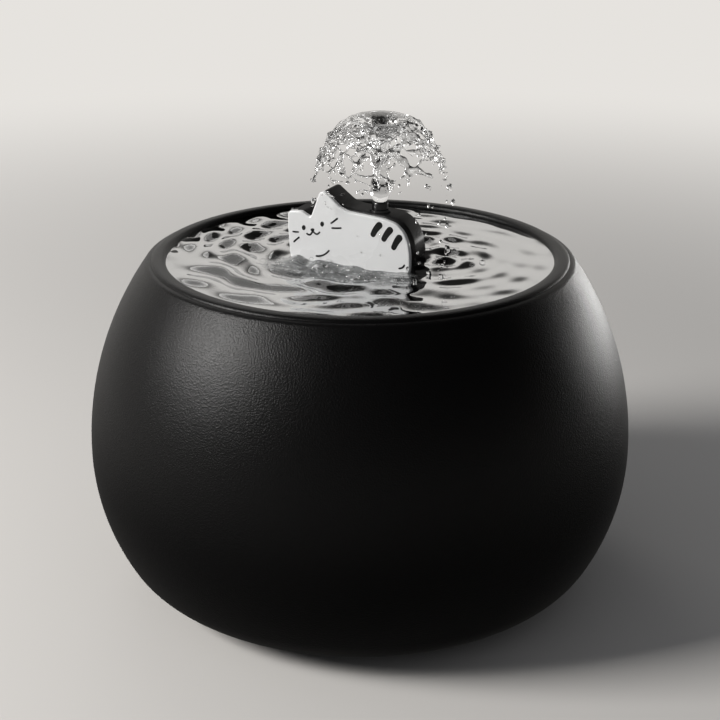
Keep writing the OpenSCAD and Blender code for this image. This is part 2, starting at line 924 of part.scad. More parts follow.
// Outline of the lying cat, seen from the front, from the water's level up
module cat_outline() {
    left = cat_left;
    right = cat_left + cat_l;
    offset(r = cat_round, $fn = 40)
        offset(delta = -cat_round)
            offset(r = -cat_hollow_round, $fn = 40)
                offset(delta = cat_hollow_round)
                    polygon([
                        [left + 2.7, -cat_draft],
                        [left + 0.6, 0.4],
                        [left, 10.4],
                        [left, back_h - 1.6],
                        [left + 5.6, back_h - 1.1],
                        [left + 9.2, back_h - 3.4],
                        [left + 13.5, ear_h + 1.8],
                        [left + 20.9, back_h + 2],
                        [left + 24.1, back_h + 0.7],
                        [right - 10.5, back_h - 0.3],
                        [right - 5.3, back_h - 1.6],
                        [right - 2.3, back_h - 4.5],
                        [right - 0.6, back_h - 8.3],
                        [right, back_h - 12.5],
                        [right, 0.6],
                        [right - 1, -cat_draft]
                    ]);
}

// Raises the cat's outline to the water and gives it a depth from y = front to y = back
module cat_slab(front, back) {
    translate([0, back, water_z])
        rotate([90, 0, 0])
            linear_extrude(back - front)
                children();
}

module cat_stem() {
    height = cat_z - lid_top;
    bell_r = stem_foot_d / 2;
    neck_r = stem_neck_d / 2;
    color([0.06, 0.06, 0.065])
        on_riser()
            difference() {
                translate([0, 0, lid_top])
                    cylinder(r1 = bell_r, r2 = neck_r, h = height);
                translate([0, 0, lid_top])
                    cylinder(r1 = bell_r - stem_wall, r2 = riser_r + slide_gap, h = height * 0.6);
                translate([0, 0, lid_top - 1])
                    cylinder(r = riser_r + slide_gap, h = height + 2);
            }
}

module cat_shell() {
    color([0.05, 0.05, 0.055])
        difference() {
            union() {
                difference() {
                    cat_slab(shell_front, cat_back)
                        cat_outline();
                    cat_slab(shell_front - 1, cat_back - cat_wall)
                        offset(delta = -cat_wall)
                            cat_outline();
                }
                on_riser()
                    translate([0, 0, cat_z])
                        cylinder(r = guide_r, h = seat_z - cat_z);
            }
            on_riser()
                translate([0, 0, cat_z - 1])
                    cylinder(r = riser_r + slide_gap, h = seat_z - cat_z + 2);
        }
}

module cat_face() {
    rim_l = 2;
    color([0.93, 0.93, 0.92])
        union() {
            cat_slab(cat_front, shell_front)
                cat_outline();
            cat_slab(shell_front - eps, shell_front + rim_l)
                difference() {
                    offset(delta = -cat_wall - 0.15)
                        cat_outline();
                    offset(delta = -cat_wall - 1.15)
                        cat_outline();
                    translate([riser_x - guide_r - 0.5, -cat_draft])
                        square([2 * guide_r + 1, cat_draft + ear_h]);
                }
        }
}

// Nozzle and the water that it throws

module nozzle() {
    color([0.05, 0.05, 0.055])
        on_riser()
            rotate_extrude()
                difference() {
                    union() {
                        translate([0, seat_z - plug_l])
                            square([riser_r, plug_l + eps]);
                        translate([0, seat_z])
                            square([riser_r + 0.5, nozzle_flange_t]);
                        translate([0, seat_z])
                            square([nozzle_d / 2, nozzle_h - 0.8]);
                        translate([0, nozzle_top - 0.8])
                            square([nozzle_d / 2 - 0.8, 0.8]);
                        translate([nozzle_d / 2 - 0.8, nozzle_top - 0.8])
                            circle(0.8);
                    }
                    translate([0, seat_z - plug_l - 1])
                        square([riser_bore_r, plug_l + 1 + nozzle_flange_t / 2]);
                    square([mouth_d / 2, nozzle_top + 1]);
                }
}

module flow_straightener() {
    color([0.8, 0.8, 0.8])
        on_riser()
            translate([0, 0, seat_z - plug_l + 0.5])
                linear_extrude(4)
                    intersection() {
                        circle(riser_bore_r);
                        union() {
                            square([riser_d, 0.6], center = true);
                            square([0.6, riser_d], center = true);
                        }
                    }
}

module water_bell() {
    outer_r = bell_d / 2;
    turn_r = outer_r - bell_flat_r;
    top = nozzle_top + bell_h;
    color([0.8, 0.88, 0.92])
        on_riser()
            rotate_extrude()
                union() {
                    translate([0, nozzle_top])
                        square([mouth_d / 2, 2]);
                    translate([0, nozzle_top + 2])
                        square([column_d / 2, bell_h - 2]);
                    translate([0, top - bell_t])
                        square([bell_flat_r, bell_t]);
                    intersection() {
                        translate([bell_flat_r, top - turn_r])
                            difference() {
                                circle(turn_r);
                                circle(turn_r - bell_t);
                            }
                        translate([bell_flat_r, top - turn_r])
                            square(turn_r);
                    }
                    translate([outer_r - bell_t, nozzle_top + bell_edge_h])
                        square([bell_t, bell_h - turn_r - bell_edge_h]);
                }
}

base_housing();
base_plate();
base_screws();
rubber_feet();
bowl_seat_ring();
driver_board();
board_parts();
power_socket();
sending_coil();
ferrite_disc();
bowl();
water_surface();
case_pad();
filter_case();
pump_housing();
receiving_coil();
motor_board();
stator_core();
stator_coils();
rotor_shaft();
shaft_bushes();
chamber_cover();
cover_screws();
riser_tube();
riser_sleeve();
rotor_magnet();
impeller();
case_lid();
filter_cage();
foam_pad();
carbon_pad();
cat_stem();
cat_shell();
cat_face();
nozzle();
flow_straightener();
water_bell();
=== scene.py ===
import json
import math
import random
import bpy
import bmesh
import numpy as np
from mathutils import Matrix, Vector, noise


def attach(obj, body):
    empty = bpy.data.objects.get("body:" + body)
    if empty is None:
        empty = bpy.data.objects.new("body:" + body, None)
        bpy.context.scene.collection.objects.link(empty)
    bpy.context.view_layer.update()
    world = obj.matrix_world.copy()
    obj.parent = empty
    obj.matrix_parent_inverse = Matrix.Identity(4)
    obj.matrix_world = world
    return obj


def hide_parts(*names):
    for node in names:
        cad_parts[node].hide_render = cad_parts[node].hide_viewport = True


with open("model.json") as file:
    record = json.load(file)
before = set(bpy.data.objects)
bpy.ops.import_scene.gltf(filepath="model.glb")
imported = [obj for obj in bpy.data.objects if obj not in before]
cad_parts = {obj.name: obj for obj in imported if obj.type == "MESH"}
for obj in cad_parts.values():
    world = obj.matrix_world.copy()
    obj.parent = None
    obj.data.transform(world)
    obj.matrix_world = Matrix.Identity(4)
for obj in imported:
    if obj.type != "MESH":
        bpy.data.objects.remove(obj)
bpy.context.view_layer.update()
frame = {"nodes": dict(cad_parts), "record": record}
nodes = frame["nodes"]
mm = 0.001
print("frame loaded:", len(nodes), "nodes")

# sizes are in millimetres and angles in degrees, unless a note says otherwise
camera = {
    "azimuth": 25.0,      # from the front, towards +X
    "distance": 520.8,    # from the bowl's axis, level
    "height": 281.7,
    "pitch": 20.88,       # down
    "lens": 75.0,
    "sensor": 36.0,
    "clipEnd": 40.0,      # metres
}

lampAim = (0, 0, 0.1)     # metres
lamps = [
    # name, degrees right of the camera and up, distance, width and height in metres, radiance, colour
    ("keyLamp", -74, 29, 1.15, 0.40, 0.40, 40.0, (1.0, 0.985, 0.965)),
    ("windowLamp", 135, -3.0, 0.80, 0.46, 0.115, 9.0, (1.0, 0.99, 0.975)),
    ("backLamp", -160, 38, 1.40, 0.60, 0.45, 1.4, (1.0, 0.985, 0.96)),
]
glossLamps = ["windowLamp"]    # a low strip that only gloss and water show, so the floor stays even

studio = {
    "wallColour": (0.86, 0.835, 0.80),
    "wallStrength": 0.92,
    "ceilingStrength": 0.16,
    "duskSpan": (0.37, 0.53),   # sines of the elevations between which the wall fades to the ceiling
    "roomStrength": 0.10,       # share of the wall's light that the room before the object gives back
    "roomSpan": (0.25, 0.85),   # cosines off the way behind the object, from that room to the wall
    "fillColour": (0.93, 0.95, 1.0),
    "fillStrength": 0.20,
    "floorHalf": 6.0,           # this and the spans below are metres
    "floorColour": (0.56, 0.545, 0.525),
    "floorRough": 0.75,
    "floorSpecular": 0.2,
    "floorGlow": 0.92,
    "glowSpan": (0.25, 1.0),    # where the far floor's own tone sets in
    # painted shade in reflections: the dim glow that gloss sees in place of the floor near the object
    "groundStrength": 0.05,
    "shadedReflectionShares": (0.9, 0.35),    # near the object and far from it
    "shadedReflectionSpan": (0.16, 0.42),
}


def aroundCamera(azimuth, elevation, distance):
    # a point as seen from the bowl, turned from the camera's own direction
    turn = math.radians(azimuth + camera["azimuth"])
    lift = math.radians(elevation)
    level = distance * math.cos(lift)
    return Vector((level * math.sin(turn), -level * math.cos(turn), distance * math.sin(lift)))


def addObject(name, data):
    obj = bpy.data.objects.new(name, data)
    bpy.context.scene.collection.objects.link(obj)
    return obj


def makeCamera():
    data = bpy.data.cameras.new("viewCamera")
    data.lens = camera["lens"]
    data.sensor_width = camera["sensor"]
    data.clip_end = camera["clipEnd"]
    obj = addObject("viewCamera", data)
    level = aroundCamera(0, 0, camera["distance"] * mm)
    obj.location = (level.x, level.y, camera["height"] * mm)
    obj.rotation_euler = (
        math.radians(90 - camera["pitch"]), 0, math.radians(camera["azimuth"]))
    bpy.context.scene.camera = obj


def makeLamps():
    aim = Vector(lampAim)
    for name, azimuth, elevation, distance, width, height, radiance, colour in lamps:
        data = bpy.data.lights.new(name, "AREA")
        data.shape = "RECTANGLE"
        data.size = width
        data.size_y = height
        data.energy = radiance * math.pi * width * height
        data.color = colour
        obj = addObject(name, data)
        obj.location = aim + aroundCamera(azimuth, elevation, distance)
        obj.rotation_euler = (aim - obj.location).to_track_quat("-Z", "Y").to_euler()
        obj.visible_camera = False
        obj.visible_diffuse = name not in glossLamps


def feed(tree, socket, source):
    # an input takes another node's output or a plain value
    if isinstance(source, bpy.types.NodeSocket):
        tree.links.new(source, socket)
    else:
        socket.default_value = source


def makeFinish(build, name, *values):
    mat = bpy.data.materials.new(name)
    mat.use_nodes = True
    build(mat.node_tree, mat.node_tree.nodes["Principled BSDF"], *values)
    return mat


def setInputs(made, values):
    for key, value in values.items():
        made.inputs[key].default_value = value


def addNode(tree, kind, *sources, **values):
    # values go by name to inputs or settings, sources to the inputs in turn
    made = tree.nodes.new("ShaderNode" + kind)
    for key, value in values.items():
        if key in made.inputs:
            feed(tree, made.inputs[key], value)
        else:
            setattr(made, key, value)
    for index, source in enumerate(sources):
        feed(tree, made.inputs[index], source)
    return made


def ownPlace(tree):
    # where a point lies in its piece's own coordinates
    return addNode(tree, "TexCoord").outputs["Object"]


def addMath(tree, operation, first, second):
    return addNode(tree, "Math", first, second, operation=operation).outputs[0]


def addRange(tree, source, low, high, fromLow=0.0, fromHigh=1.0, ease="LINEAR"):
    return addNode(
        tree, "MapRange", source, fromLow, fromHigh, low, high,
        interpolation_type=ease).outputs[0]


def addNoise(tree, scale, detail=3.0, rough=0.5, stretch=None):
    place = ownPlace(tree)
    if stretch is not None:
        place = addNode(tree, "Mapping", place, Scale=stretch).outputs[0]
    return addNode(
        tree, "TexNoise", place, Scale=scale, Detail=detail, Roughness=rough).outputs["Fac"]


def addLight(tree, kind, colour, strength):
    return addNode(tree, kind, (*colour, 1), strength).outputs[0]


def addLength(tree, source):
    return addNode(tree, "VectorMath", source, operation="LENGTH").outputs["Value"]


def anyRay(tree, *kinds):
    # 1 for rays of any of these kinds, 0 for the others
    path = addNode(tree, "LightPath")
    value = path.outputs[kinds[0]]
    for kind in kinds[1:]:
        value = addMath(tree, "MAXIMUM", value, path.outputs[kind])
    return value


def seenRays(tree):
    # 1 for what the eye, a mirror or clear water sees, 0 for light that falls on things
    return anyRay(tree, "Is Camera Ray", "Is Glossy Ray", "Is Transmission Ray")


def mixShaders(tree, factor, first, second):
    return addNode(tree, "MixShader", factor, first, second).outputs[0]


def mixColours(tree, factor, first, second):
    mix = addNode(tree, "Mix", factor, data_type="RGBA")
    feed(tree, mix.inputs[6], (*first, 1))
    feed(tree, mix.inputs[7], (*second, 1))
    return mix.outputs[2]


def setSurface(tree, source):
    tree.links.new(source, tree.nodes["Material Output"].inputs["Surface"])


def setColour(shader, factor, first, second):
    tree = shader.id_data
    tree.links.new(mixColours(tree, factor, first, second), shader.inputs["Base Color"])


def setRough(shader, source, low, high, fromLow=0.3, fromHigh=0.7):
    tree = shader.id_data
    tree.links.new(addRange(tree, source, low, high, fromLow, fromHigh), shader.inputs["Roughness"])


def addBump(shader, height, strength, distance):
    # its distance is in metres
    tree = shader.id_data
    bump = addNode(tree, "Bump", Strength=strength, Distance=distance, Height=height)
    tree.links.new(bump.outputs["Normal"], shader.inputs["Normal"])


def shade(colour, factor):
    return tuple(c * factor for c in colour)


def makeWorld():
    s = studio
    world = bpy.data.worlds.new("studio")
    bpy.context.scene.world = world
    world.use_nodes = True
    tree = world.node_tree
    tree.nodes.clear()
    way = addNode(tree, "TexCoord").outputs["Generated"]
    up = addNode(tree, "SeparateXYZ", way).outputs["Z"]
    dusk = addRange(
        tree, up, s["wallStrength"], s["ceilingStrength"], *s["duskSpan"], "SMOOTHSTEP")
    # gloss sees the pale wall behind the object and a dim room before it
    behind = addNode(
        tree, "VectorMath", way, tuple(-aroundCamera(0, 0, 1.0)),
        operation="DOT_PRODUCT").outputs["Value"]
    room = addRange(tree, behind, s["roomStrength"], 1.0, *s["roomSpan"], "SMOOTHSTEP")
    share = addMath(tree, "MAXIMUM", room, anyRay(tree, "Is Camera Ray", "Is Transmission Ray"))
    strength = addMath(tree, "MULTIPLY", dusk, share)
    wall = addLight(tree, "Background", s["wallColour"], strength)
    fill = addLight(tree, "Background", s["fillColour"], s["fillStrength"])
    addNode(tree, "OutputWorld", Surface=mixShaders(tree, seenRays(tree), fill, wall))


def floorFinish(tree, shader):
    s = studio
    setInputs(shader, {
        "Base Color": (*s["floorColour"], 1), "Roughness": s["floorRough"],
        "Specular IOR Level": s["floorSpecular"]})
    reach = addLength(tree, addNode(tree, "NewGeometry").outputs["Position"])
    far = addRange(tree, reach, 0.0, 1.0, *s["glowSpan"], "SMOOTHSTEP")
    glow = addLight(tree, "Emission", s["wallColour"], s["floorGlow"])
    share = addMath(tree, "MULTIPLY", far, seenRays(tree))
    lit = mixShaders(tree, share, shader.outputs[0], glow)
    # painted shade in reflections: near the object, gloss sees a dim glow in place of the pale floor, a
    # painted darker reflection that fades further out
    near = addRange(tree, reach, *s["shadedReflectionShares"], *s["shadedReflectionSpan"])
    ground = addLight(tree, "Emission", s["wallColour"], s["groundStrength"])
    shine = addMath(tree, "MULTIPLY", anyRay(tree, "Is Glossy Ray"), near)
    setSurface(tree, mixShaders(tree, shine, lit, ground))


def makeFloor():
    mesh = bpy.data.meshes.new("floor")
    half = studio["floorHalf"]
    mesh.from_pydata(
        [(-half, -half, 0), (half, -half, 0), (half, half, 0), (-half, half, 0)],
        [], [(0, 1, 2, 3)])
    mesh.materials.append(makeFinish(floorFinish, "paleFloor"))
    obj = addObject("floor", mesh)


bpy.context.scene.view_settings.view_transform = "Standard"
makeCamera()
makeLamps()
makeWorld()
makeFloor()
print("camera, lamps and floor stand")


# in the finishes, a noise's or pattern's scale counts its cells in a metre


def mouldedFinish(tree, shader, colour, rough=0.42, grain=2600.0, depth=0.00002, specular=0.35):
    # moulded plastic: a fine even grain and slow changes of sheen
    setInputs(shader, {"Specular IOR Level": specular})
    slow = addNoise(tree, 35.0)
    setColour(shader, slow, shade(colour, 0.86), colour)
    setRough(shader, slow, rough - 0.05, rough + 0.06)
    addBump(shader, addNoise(tree, grain, 2.0), 0.35, depth)


def glazeFinish(tree, shader, colour):
    # matte ceramic: fine leathery cells under a dull sheen
    setInputs(shader, {"Specular IOR Level": 0.17})
    cells = addNode(
        tree, "TexVoronoi", ownPlace(tree), feature="SMOOTH_F1", Scale=1800.0, Smoothness=0.4)
    fine = addNoise(tree, 2900.0, 2.0, 0.6)
    setColour(shader, addNoise(tree, 26.0, 2.0), shade(colour, 0.8), colour)
    setRough(shader, fine, 0.31, 0.41)
    addBump(shader, addMath(tree, "ADD", cells.outputs["Distance"], fine), 0.9, 0.00008)


def waterFinish(tree, shader, edge=0.0, index=1.34):
    # clear water; given an edge, its colour darkens where the surface turns away from view, a painted dark
    # outline on thick rims and drops
    setInputs(shader, {"Transmission Weight": 1.0, "IOR": index})
    fine = addNoise(tree, 260.0)
    setRough(shader, fine, 0.0, 0.02, 0.4)
    clear = (0.985, 0.99, 0.995)
    if edge > 0:
        # painted shade: a darker colour at a grazing view
        facing = addNode(tree, "LayerWeight", Blend=edge).outputs["Facing"]
        setColour(shader, facing, clear, (0.74, 0.745, 0.75))
    else:
        setColour(shader, addNoise(tree, 60.0, 2.0), (0.93, 0.955, 0.96), clear)
    addBump(shader, fine, 0.15, 0.00004)


def satinFinish(tree, shader, colour, sheen):
    # painted black with a thin even sheen, which stays low at a grazing view
    mouldedFinish(tree, shader, colour, 0.31, 1500.0, 0.00001, 0.0)
    rough, normal = (
        shader.inputs[key].links[0].from_socket for key in ("Roughness", "Normal"))
    gloss = addNode(
        tree, "BsdfGlossy", Color=(1.0, 1.0, 1.0, 1.0), Roughness=rough, Normal=normal)
    setSurface(tree, mixShaders(tree, sheen, shader.outputs[0], gloss.outputs[0]))


def rippleFinish(tree, shader, milkAndReflectionCentre, milkAndReflectionReach):
    # the open surface: clear from above, a mirror at a flat view, milky where stirred-in air rises; the
    # milky patch's grey is also a painted reflection and shade of the plate, laid in place of the mirror
    waterFinish(tree, shader)
    facing = addNode(tree, "LayerWeight", Blend=0.5).outputs["Facing"]
    gloss = addNode(tree, "BsdfGlossy", Color=(0.80, 0.805, 0.81, 1.0), Roughness=0.02)
    share = addRange(tree, facing, 0.03, 0.74, 0.57, 0.69)
    mirror = mixShaders(tree, share, shader.outputs[0], gloss.outputs[0])
    # the patch's pale specks are froth and also painted glints
    froth = addRange(tree, addNoise(tree, 520.0, 4.0, 0.7), 0.0, 1.0, 0.56, 0.70)
    milkAndPaintedReflection = addNode(
        tree, "BsdfDiffuse",
        Color=mixColours(tree, froth, (0.16, 0.165, 0.165), (0.70, 0.71, 0.71)))
    # the milky patch is an ellipse with ragged edges
    ellipse = addNode(
        tree, "Mapping", ownPlace(tree), vector_type="TEXTURE",
        Location=[c * mm for c in milkAndReflectionCentre], Scale=[c * mm for c in milkAndReflectionReach])
    patches = addRange(tree, addNoise(tree, 160.0, 3.0, 0.6), -0.45, 0.45)
    ragged = addMath(tree, "ADD", addLength(tree, ellipse.outputs[0]), patches)
    milkAndReflectionMask = addRange(tree, ragged, 0.82, 0.0, 0.6, 1.05)
    setSurface(tree, mixShaders(tree, milkAndReflectionMask, mirror, milkAndPaintedReflection.outputs[0]))


def rubberFinish(tree, shader, colour):
    fine = addNoise(tree, 1800.0, 4.0, 0.7)
    setColour(shader, fine, shade(colour, 0.75), shade(colour, 1.15))
    setRough(shader, fine, 0.62, 0.8)
    addBump(shader, fine, 0.5, 0.00005)


def siliconeFinish(tree, shader, colour):
    setInputs(shader, {"Subsurface Weight": 0.25, "Subsurface Scale": 0.002})
    slow = addNoise(tree, 180.0)
    setColour(shader, slow, shade(colour, 0.9), colour)
    setRough(shader, slow, 0.42, 0.58)
    addBump(shader, addNoise(tree, 3000.0, 2.0), 0.3, 0.00002)


def boardFinish(tree, shader, colour):
    # solder mask over copper tracks
    tracks = addNode(tree, "TexBrick", ownPlace(tree), Scale=260.0)
    setInputs(tracks, {
        "Mortar Size": 0.03, "Color1": (*colour, 1), "Color2": (*shade(colour, 1.25), 1),
        "Mortar": (*shade(colour, 0.6), 1)})
    feed(tree, shader.inputs["Base Color"], tracks.outputs["Color"])
    setRough(shader, addNoise(tree, 900.0, 2.0), 0.28, 0.4)
    addBump(shader, tracks.outputs["Fac"], 0.4, 0.00003)


def windingFinish(tree, shader, colour):
    # enamelled wire, laid turn beside turn
    setInputs(shader, {"Metallic": 0.85, "Coat Weight": 0.5})
    turns = addNode(
        tree, "TexWave", ownPlace(tree), wave_type="RINGS", rings_direction="Z",
        Scale=420.0, Distortion=0.4).outputs["Fac"]
    setColour(shader, turns, shade(colour, 0.45), colour)
    setRough(shader, turns, 0.42, 0.24, 0.0, 1.0)
    addBump(shader, turns, 0.8, 0.0002)


def steelFinish(tree, shader, colour, stretch=(1.0, 1.0, 12.0), scale=900.0):
    setInputs(shader, {"Metallic": 1.0})
    brushed = addNoise(tree, scale, 4.0, 0.6, stretch)
    setColour(shader, brushed, shade(colour, 0.8), colour)
    setRough(shader, brushed, 0.2, 0.36)
    addBump(shader, brushed, 0.3, 0.00002)


def ceramicFinish(tree, shader, colour, rough):
    grains = addNoise(tree, 1400.0, 5.0, 0.65)
    setColour(shader, grains, shade(colour, 0.72), colour)
    setRough(shader, grains, rough - 0.06, rough + 0.1)
    addBump(shader, grains, 0.4, 0.00003)


def foamFinish(tree, shader, colour, cell=850.0, depth=0.0004, flecks=None):
    # open cells, or loose fibres where flecks of charcoal show through; without flecks, the cells' centres
    # are painted darker, painted shade in the open pores
    setInputs(shader, {"Specular IOR Level": 0.15})
    cells = addNode(
        tree, "TexVoronoi", ownPlace(tree), feature="F1", Scale=cell).outputs["Distance"]
    walls = addRange(tree, cells, 0.0, 1.0, 0.15, 0.6)
    # painted shade: without flecks, the cells' centres take a darker copy of the colour
    setColour(shader, walls, flecks or shade(colour, 0.3), colour)
    setRough(shader, cells, 0.95, 0.8, 0.0, 1.0)
    addBump(shader, cells, 0.9, depth)


def milkyFinish(tree, shader, colour):
    # thin-walled tube of cloudy plastic
    setInputs(shader, {"Transmission Weight": 0.35})
    slow = addNoise(tree, 90.0, 3.0, 0.5, (1.0, 1.0, 0.3))
    setColour(shader, slow, shade(colour, 0.85), colour)
    setRough(shader, slow, 0.22, 0.34)
    addBump(shader, slow, 0.3, 0.0001)


# what builds each slot's finish, its name and its values
ownLooks = {
    "bowl_glaze": (glazeFinish, "bowlGlaze", (0.0018, 0.0017, 0.0018)),
    # centre and reach of the milky patch, part stirred-in air and part painted reflection and shade
    "water": (rippleFinish, "openWater", (-2.0, -18.0, 123.0), (31.0, 14.0, 20.0)),
    # its edge value sets the painted dark outline on the falling water, the drops and the bubbles
    "water_sheet": (waterFinish, "fallingWater", 0.32),
    "cat_black": (satinFinish, "catBlack", (0.0035, 0.0034, 0.0036), 0.05),
    "cat_white": (mouldedFinish, "catWhite", (0.64, 0.645, 0.645), 0.27, 1200.0, 0.00001, 0.45),
    "case_black": (mouldedFinish, "caseBlack", (0.016, 0.016, 0.017)),
    "base_black": (mouldedFinish, "baseBlack", (0.012, 0.012, 0.013), 0.5),
}
# these keep the colour that the part's record gives their slot
recordLooks = {
    "foot_rubber": (rubberFinish, "footRubber"),
    "silicone_grey": (siliconeFinish, "greySilicone"),
    "silicone_clear": (siliconeFinish, "milkySilicone"),
    "board_green": (boardFinish, "circuitBoard"),
    "chip_black": (mouldedFinish, "chipCases", 0.55, 1800.0, 0.00003),
    "socket_black": (mouldedFinish, "socketShell", 0.4),
    "copper": (windingFinish, "copperWire"),
    "ferrite": (ceramicFinish, "ferrite", 0.55),
    "stator_steel": (steelFinish, "stampedSheets", (1.0, 1.0, 40.0), 140.0),
    "screw_steel": (steelFinish, "screwSteel"),
    "shaft_ceramic": (ceramicFinish, "groundCeramic", 0.2),
    "bush_black": (mouldedFinish, "bearingPlastic", 0.35),
    "magnet": (ceramicFinish, "boundMagnet", 0.5),
    "impeller_white": (mouldedFinish, "impellerPlastic", 0.4),
    "tube_clear": (milkyFinish, "cloudyTube"),
    "foam": (foamFinish, "openFoam"),
    "carbon": (foamFinish, "fleece", 2200.0, 0.0003, (0.45, 0.45, 0.44)),
}
slotColours = {entry["slot"]: entry["base_color"][:3] for entry in frame["record"]["materials"]}
finishes = {slot: makeFinish(*look) for slot, look in ownLooks.items()}
for slot, (build, name, *values) in recordLooks.items():
    finishes[slot] = makeFinish(build, name, slotColours[slot], *values)
inkFinish = makeFinish(mouldedFinish, "printInk", (0.006, 0.006, 0.006), 0.34, 2000.0, 0.00001, 0.35)
for part in frame["record"]["subparts"]:
    node = nodes[part["node"]]
    node.data.materials.clear()
    node.data.materials.append(finishes[part["material_slot"]])
print("materials made:", len(finishes) + 1)


def addPiece(name, points, faces, body, slot, replaced=(), sharp=None, finish=None):
    # points come in millimetres, with whole outlines allowed as faces
    mesh = bpy.data.meshes.new(name)
    mesh.from_pydata([tuple(c * mm for c in point) for point in points], [], faces)
    mesh.validate()
    build = bmesh.new()
    build.from_mesh(mesh)
    bmesh.ops.recalc_face_normals(build, faces=build.faces)
    build.to_mesh(mesh)
    build.free()
    mesh.shade_smooth()
    if sharp is not None:
        mesh.set_sharp_from_angle(angle=math.radians(sharp))
    obj = addObject(name, mesh)
    mesh.materials.append(finish or finishes[slot])
    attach(obj, body)
    for node in replaced:
        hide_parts(node)
    return obj


def arc(centre, radius, start, end, steps):
    # points of a circle from angle start to angle end
    return [
        (centre[0] + radius * math.cos(math.radians(start + (end - start) * k / steps)),
         centre[1] + radius * math.sin(math.radians(start + (end - start) * k / steps)))
        for k in range(steps + 1)]


def lathe(profile, turns, axis=(0.0, 0.0)):
    # turns (radius, height) points about a vertical axis; no radius makes a single point
    points = []
    rows = []
    for radius, height in profile:
        if radius < 1e-6:
            rows.append([len(points)] * turns)
            points.append((axis[0], axis[1], height))
            continue
        rows.append(list(range(len(points), len(points) + turns)))
        for k in range(turns):
            turn = 2 * math.pi * k / turns
            points.append((
                axis[0] + radius * math.cos(turn), axis[1] + radius * math.sin(turn), height))
    faces = []
    for low, high in zip(rows, rows[1:]):
        for k in range(turns):
            n = (k + 1) % turns
            corners = []
            for index in (low[k], low[n], high[n], high[k]):
                if index not in corners:
                    corners.append(index)
            if len(corners) > 2:
                faces.append(tuple(corners))
    return points, faces


bowl = {
    "upperCentre": (-16.95, 54.0),
    "upperRadius": 116.95,
    "lowerCentre": (20.0, 54.0),
    "lowerRadius": 80.0,
    "footCentre": (68.2, 27.5),
    "footRadius": 25.0,
    "wall": 5.4,
    "rollCentre": (75.53, 121.5),
    "rollRadius": 2.5,
    "lipCentre": (72.6, 123.24),
    "lipRadius": 2.8,
    "lipTop": 125.2,
    "lipSquareness": 2.8,      # 2 gives a round lip, more a flatter top
    "lipSteps": 40,
    "lipSink": 0.05,           # how far the lip's round reaches into the wall
    "crease": 124.0,
    "recessRadius": 51.0,
    "recessTop": 17.0,
    "recessBevel": 0.6,
    "pedestalRadius": 55.4,
    "pedestalTop": 22.4,
    "pedestalBevel": (0.6, 0.4),
    "pedestalFoot": 61.4,
    "grooveHalf": 4.0,         # the lead's way out, at the back under the foot
    "grooveDepth": 1.5,
    "turns": 288,
    "sharp": 40,
}


def angleAt(centre, point):
    return math.degrees(math.atan2(point[1] - centre[1], point[0] - centre[0]))


def makeBowl():
    b = bowl
    thin = b["wall"]
    foot = b["footCentre"][1] - b["footRadius"]
    footAngle = angleAt(b["lowerCentre"], b["footCentre"])
    rollAngle = angleAt(b["upperCentre"], b["rollCentre"])
    innerRadius = b["upperRadius"] - thin
    lipFoot = b["lipCentre"][1] - b["lipRadius"] + b["lipSink"]
    innerTop = math.degrees(math.asin((lipFoot - b["upperCentre"][1]) / innerRadius))
    bevelOut, bevelDown = b["pedestalBevel"]
    profile = [(0.0, b["pedestalTop"]), (b["pedestalRadius"] - bevelOut, b["pedestalTop"]),
               (b["pedestalRadius"], b["pedestalTop"] - bevelDown), (b["pedestalFoot"], foot + thin)]
    profile += arc(b["footCentre"], b["footRadius"] - thin, -90, footAngle, 18)
    profile += arc(b["lowerCentre"], b["lowerRadius"] - thin, footAngle, 0, 24)[1:]
    profile += arc(b["upperCentre"], innerRadius, 0, innerTop, 36)[1:]
    profile += arc(b["lipCentre"], b["lipRadius"], -82, -180, 20)
    for k in range(1, b["lipSteps"]):
        turn = math.pi * (1 - k / b["lipSteps"])
        x, z = (
            math.copysign(abs(part) ** (2 / b["lipSquareness"]), part)
            for part in (math.cos(turn), math.sin(turn)))
        height = b["lipCentre"][1] + z * (b["lipTop"] - b["lipCentre"][1])
        if x > 0 and height < b["crease"]:
            break
        profile.append((b["lipCentre"][0] + x * b["lipRadius"], height))
    profile += arc(b["rollCentre"], b["rollRadius"], 90, rollAngle, 10)
    profile += arc(b["upperCentre"], b["upperRadius"], rollAngle, 0, 56)[1:]
    profile += arc(b["lowerCentre"], b["lowerRadius"], 0, footAngle, 36)[1:]
    profile += arc(b["footCentre"], b["footRadius"], footAngle, -90, 24)[1:]
    profile += [(b["recessRadius"] + b["recessBevel"], foot), (b["recessRadius"], foot + b["recessBevel"]),
                (b["recessRadius"], b["recessTop"]), (0.0, b["recessTop"])]
    points, faces = lathe(profile, b["turns"])
    grooveTop = foot + b["grooveDepth"]
    points = [
        (x, y, grooveTop) if abs(x) < b["grooveHalf"] and y > 0 and z < grooveTop else (x, y, z)
        for x, y, z in points]
    addPiece("bowlGlazed", points, faces, "bowl", "bowl_glaze", ["bowl"], b["sharp"])


makeBowl()
print("bowl turned")

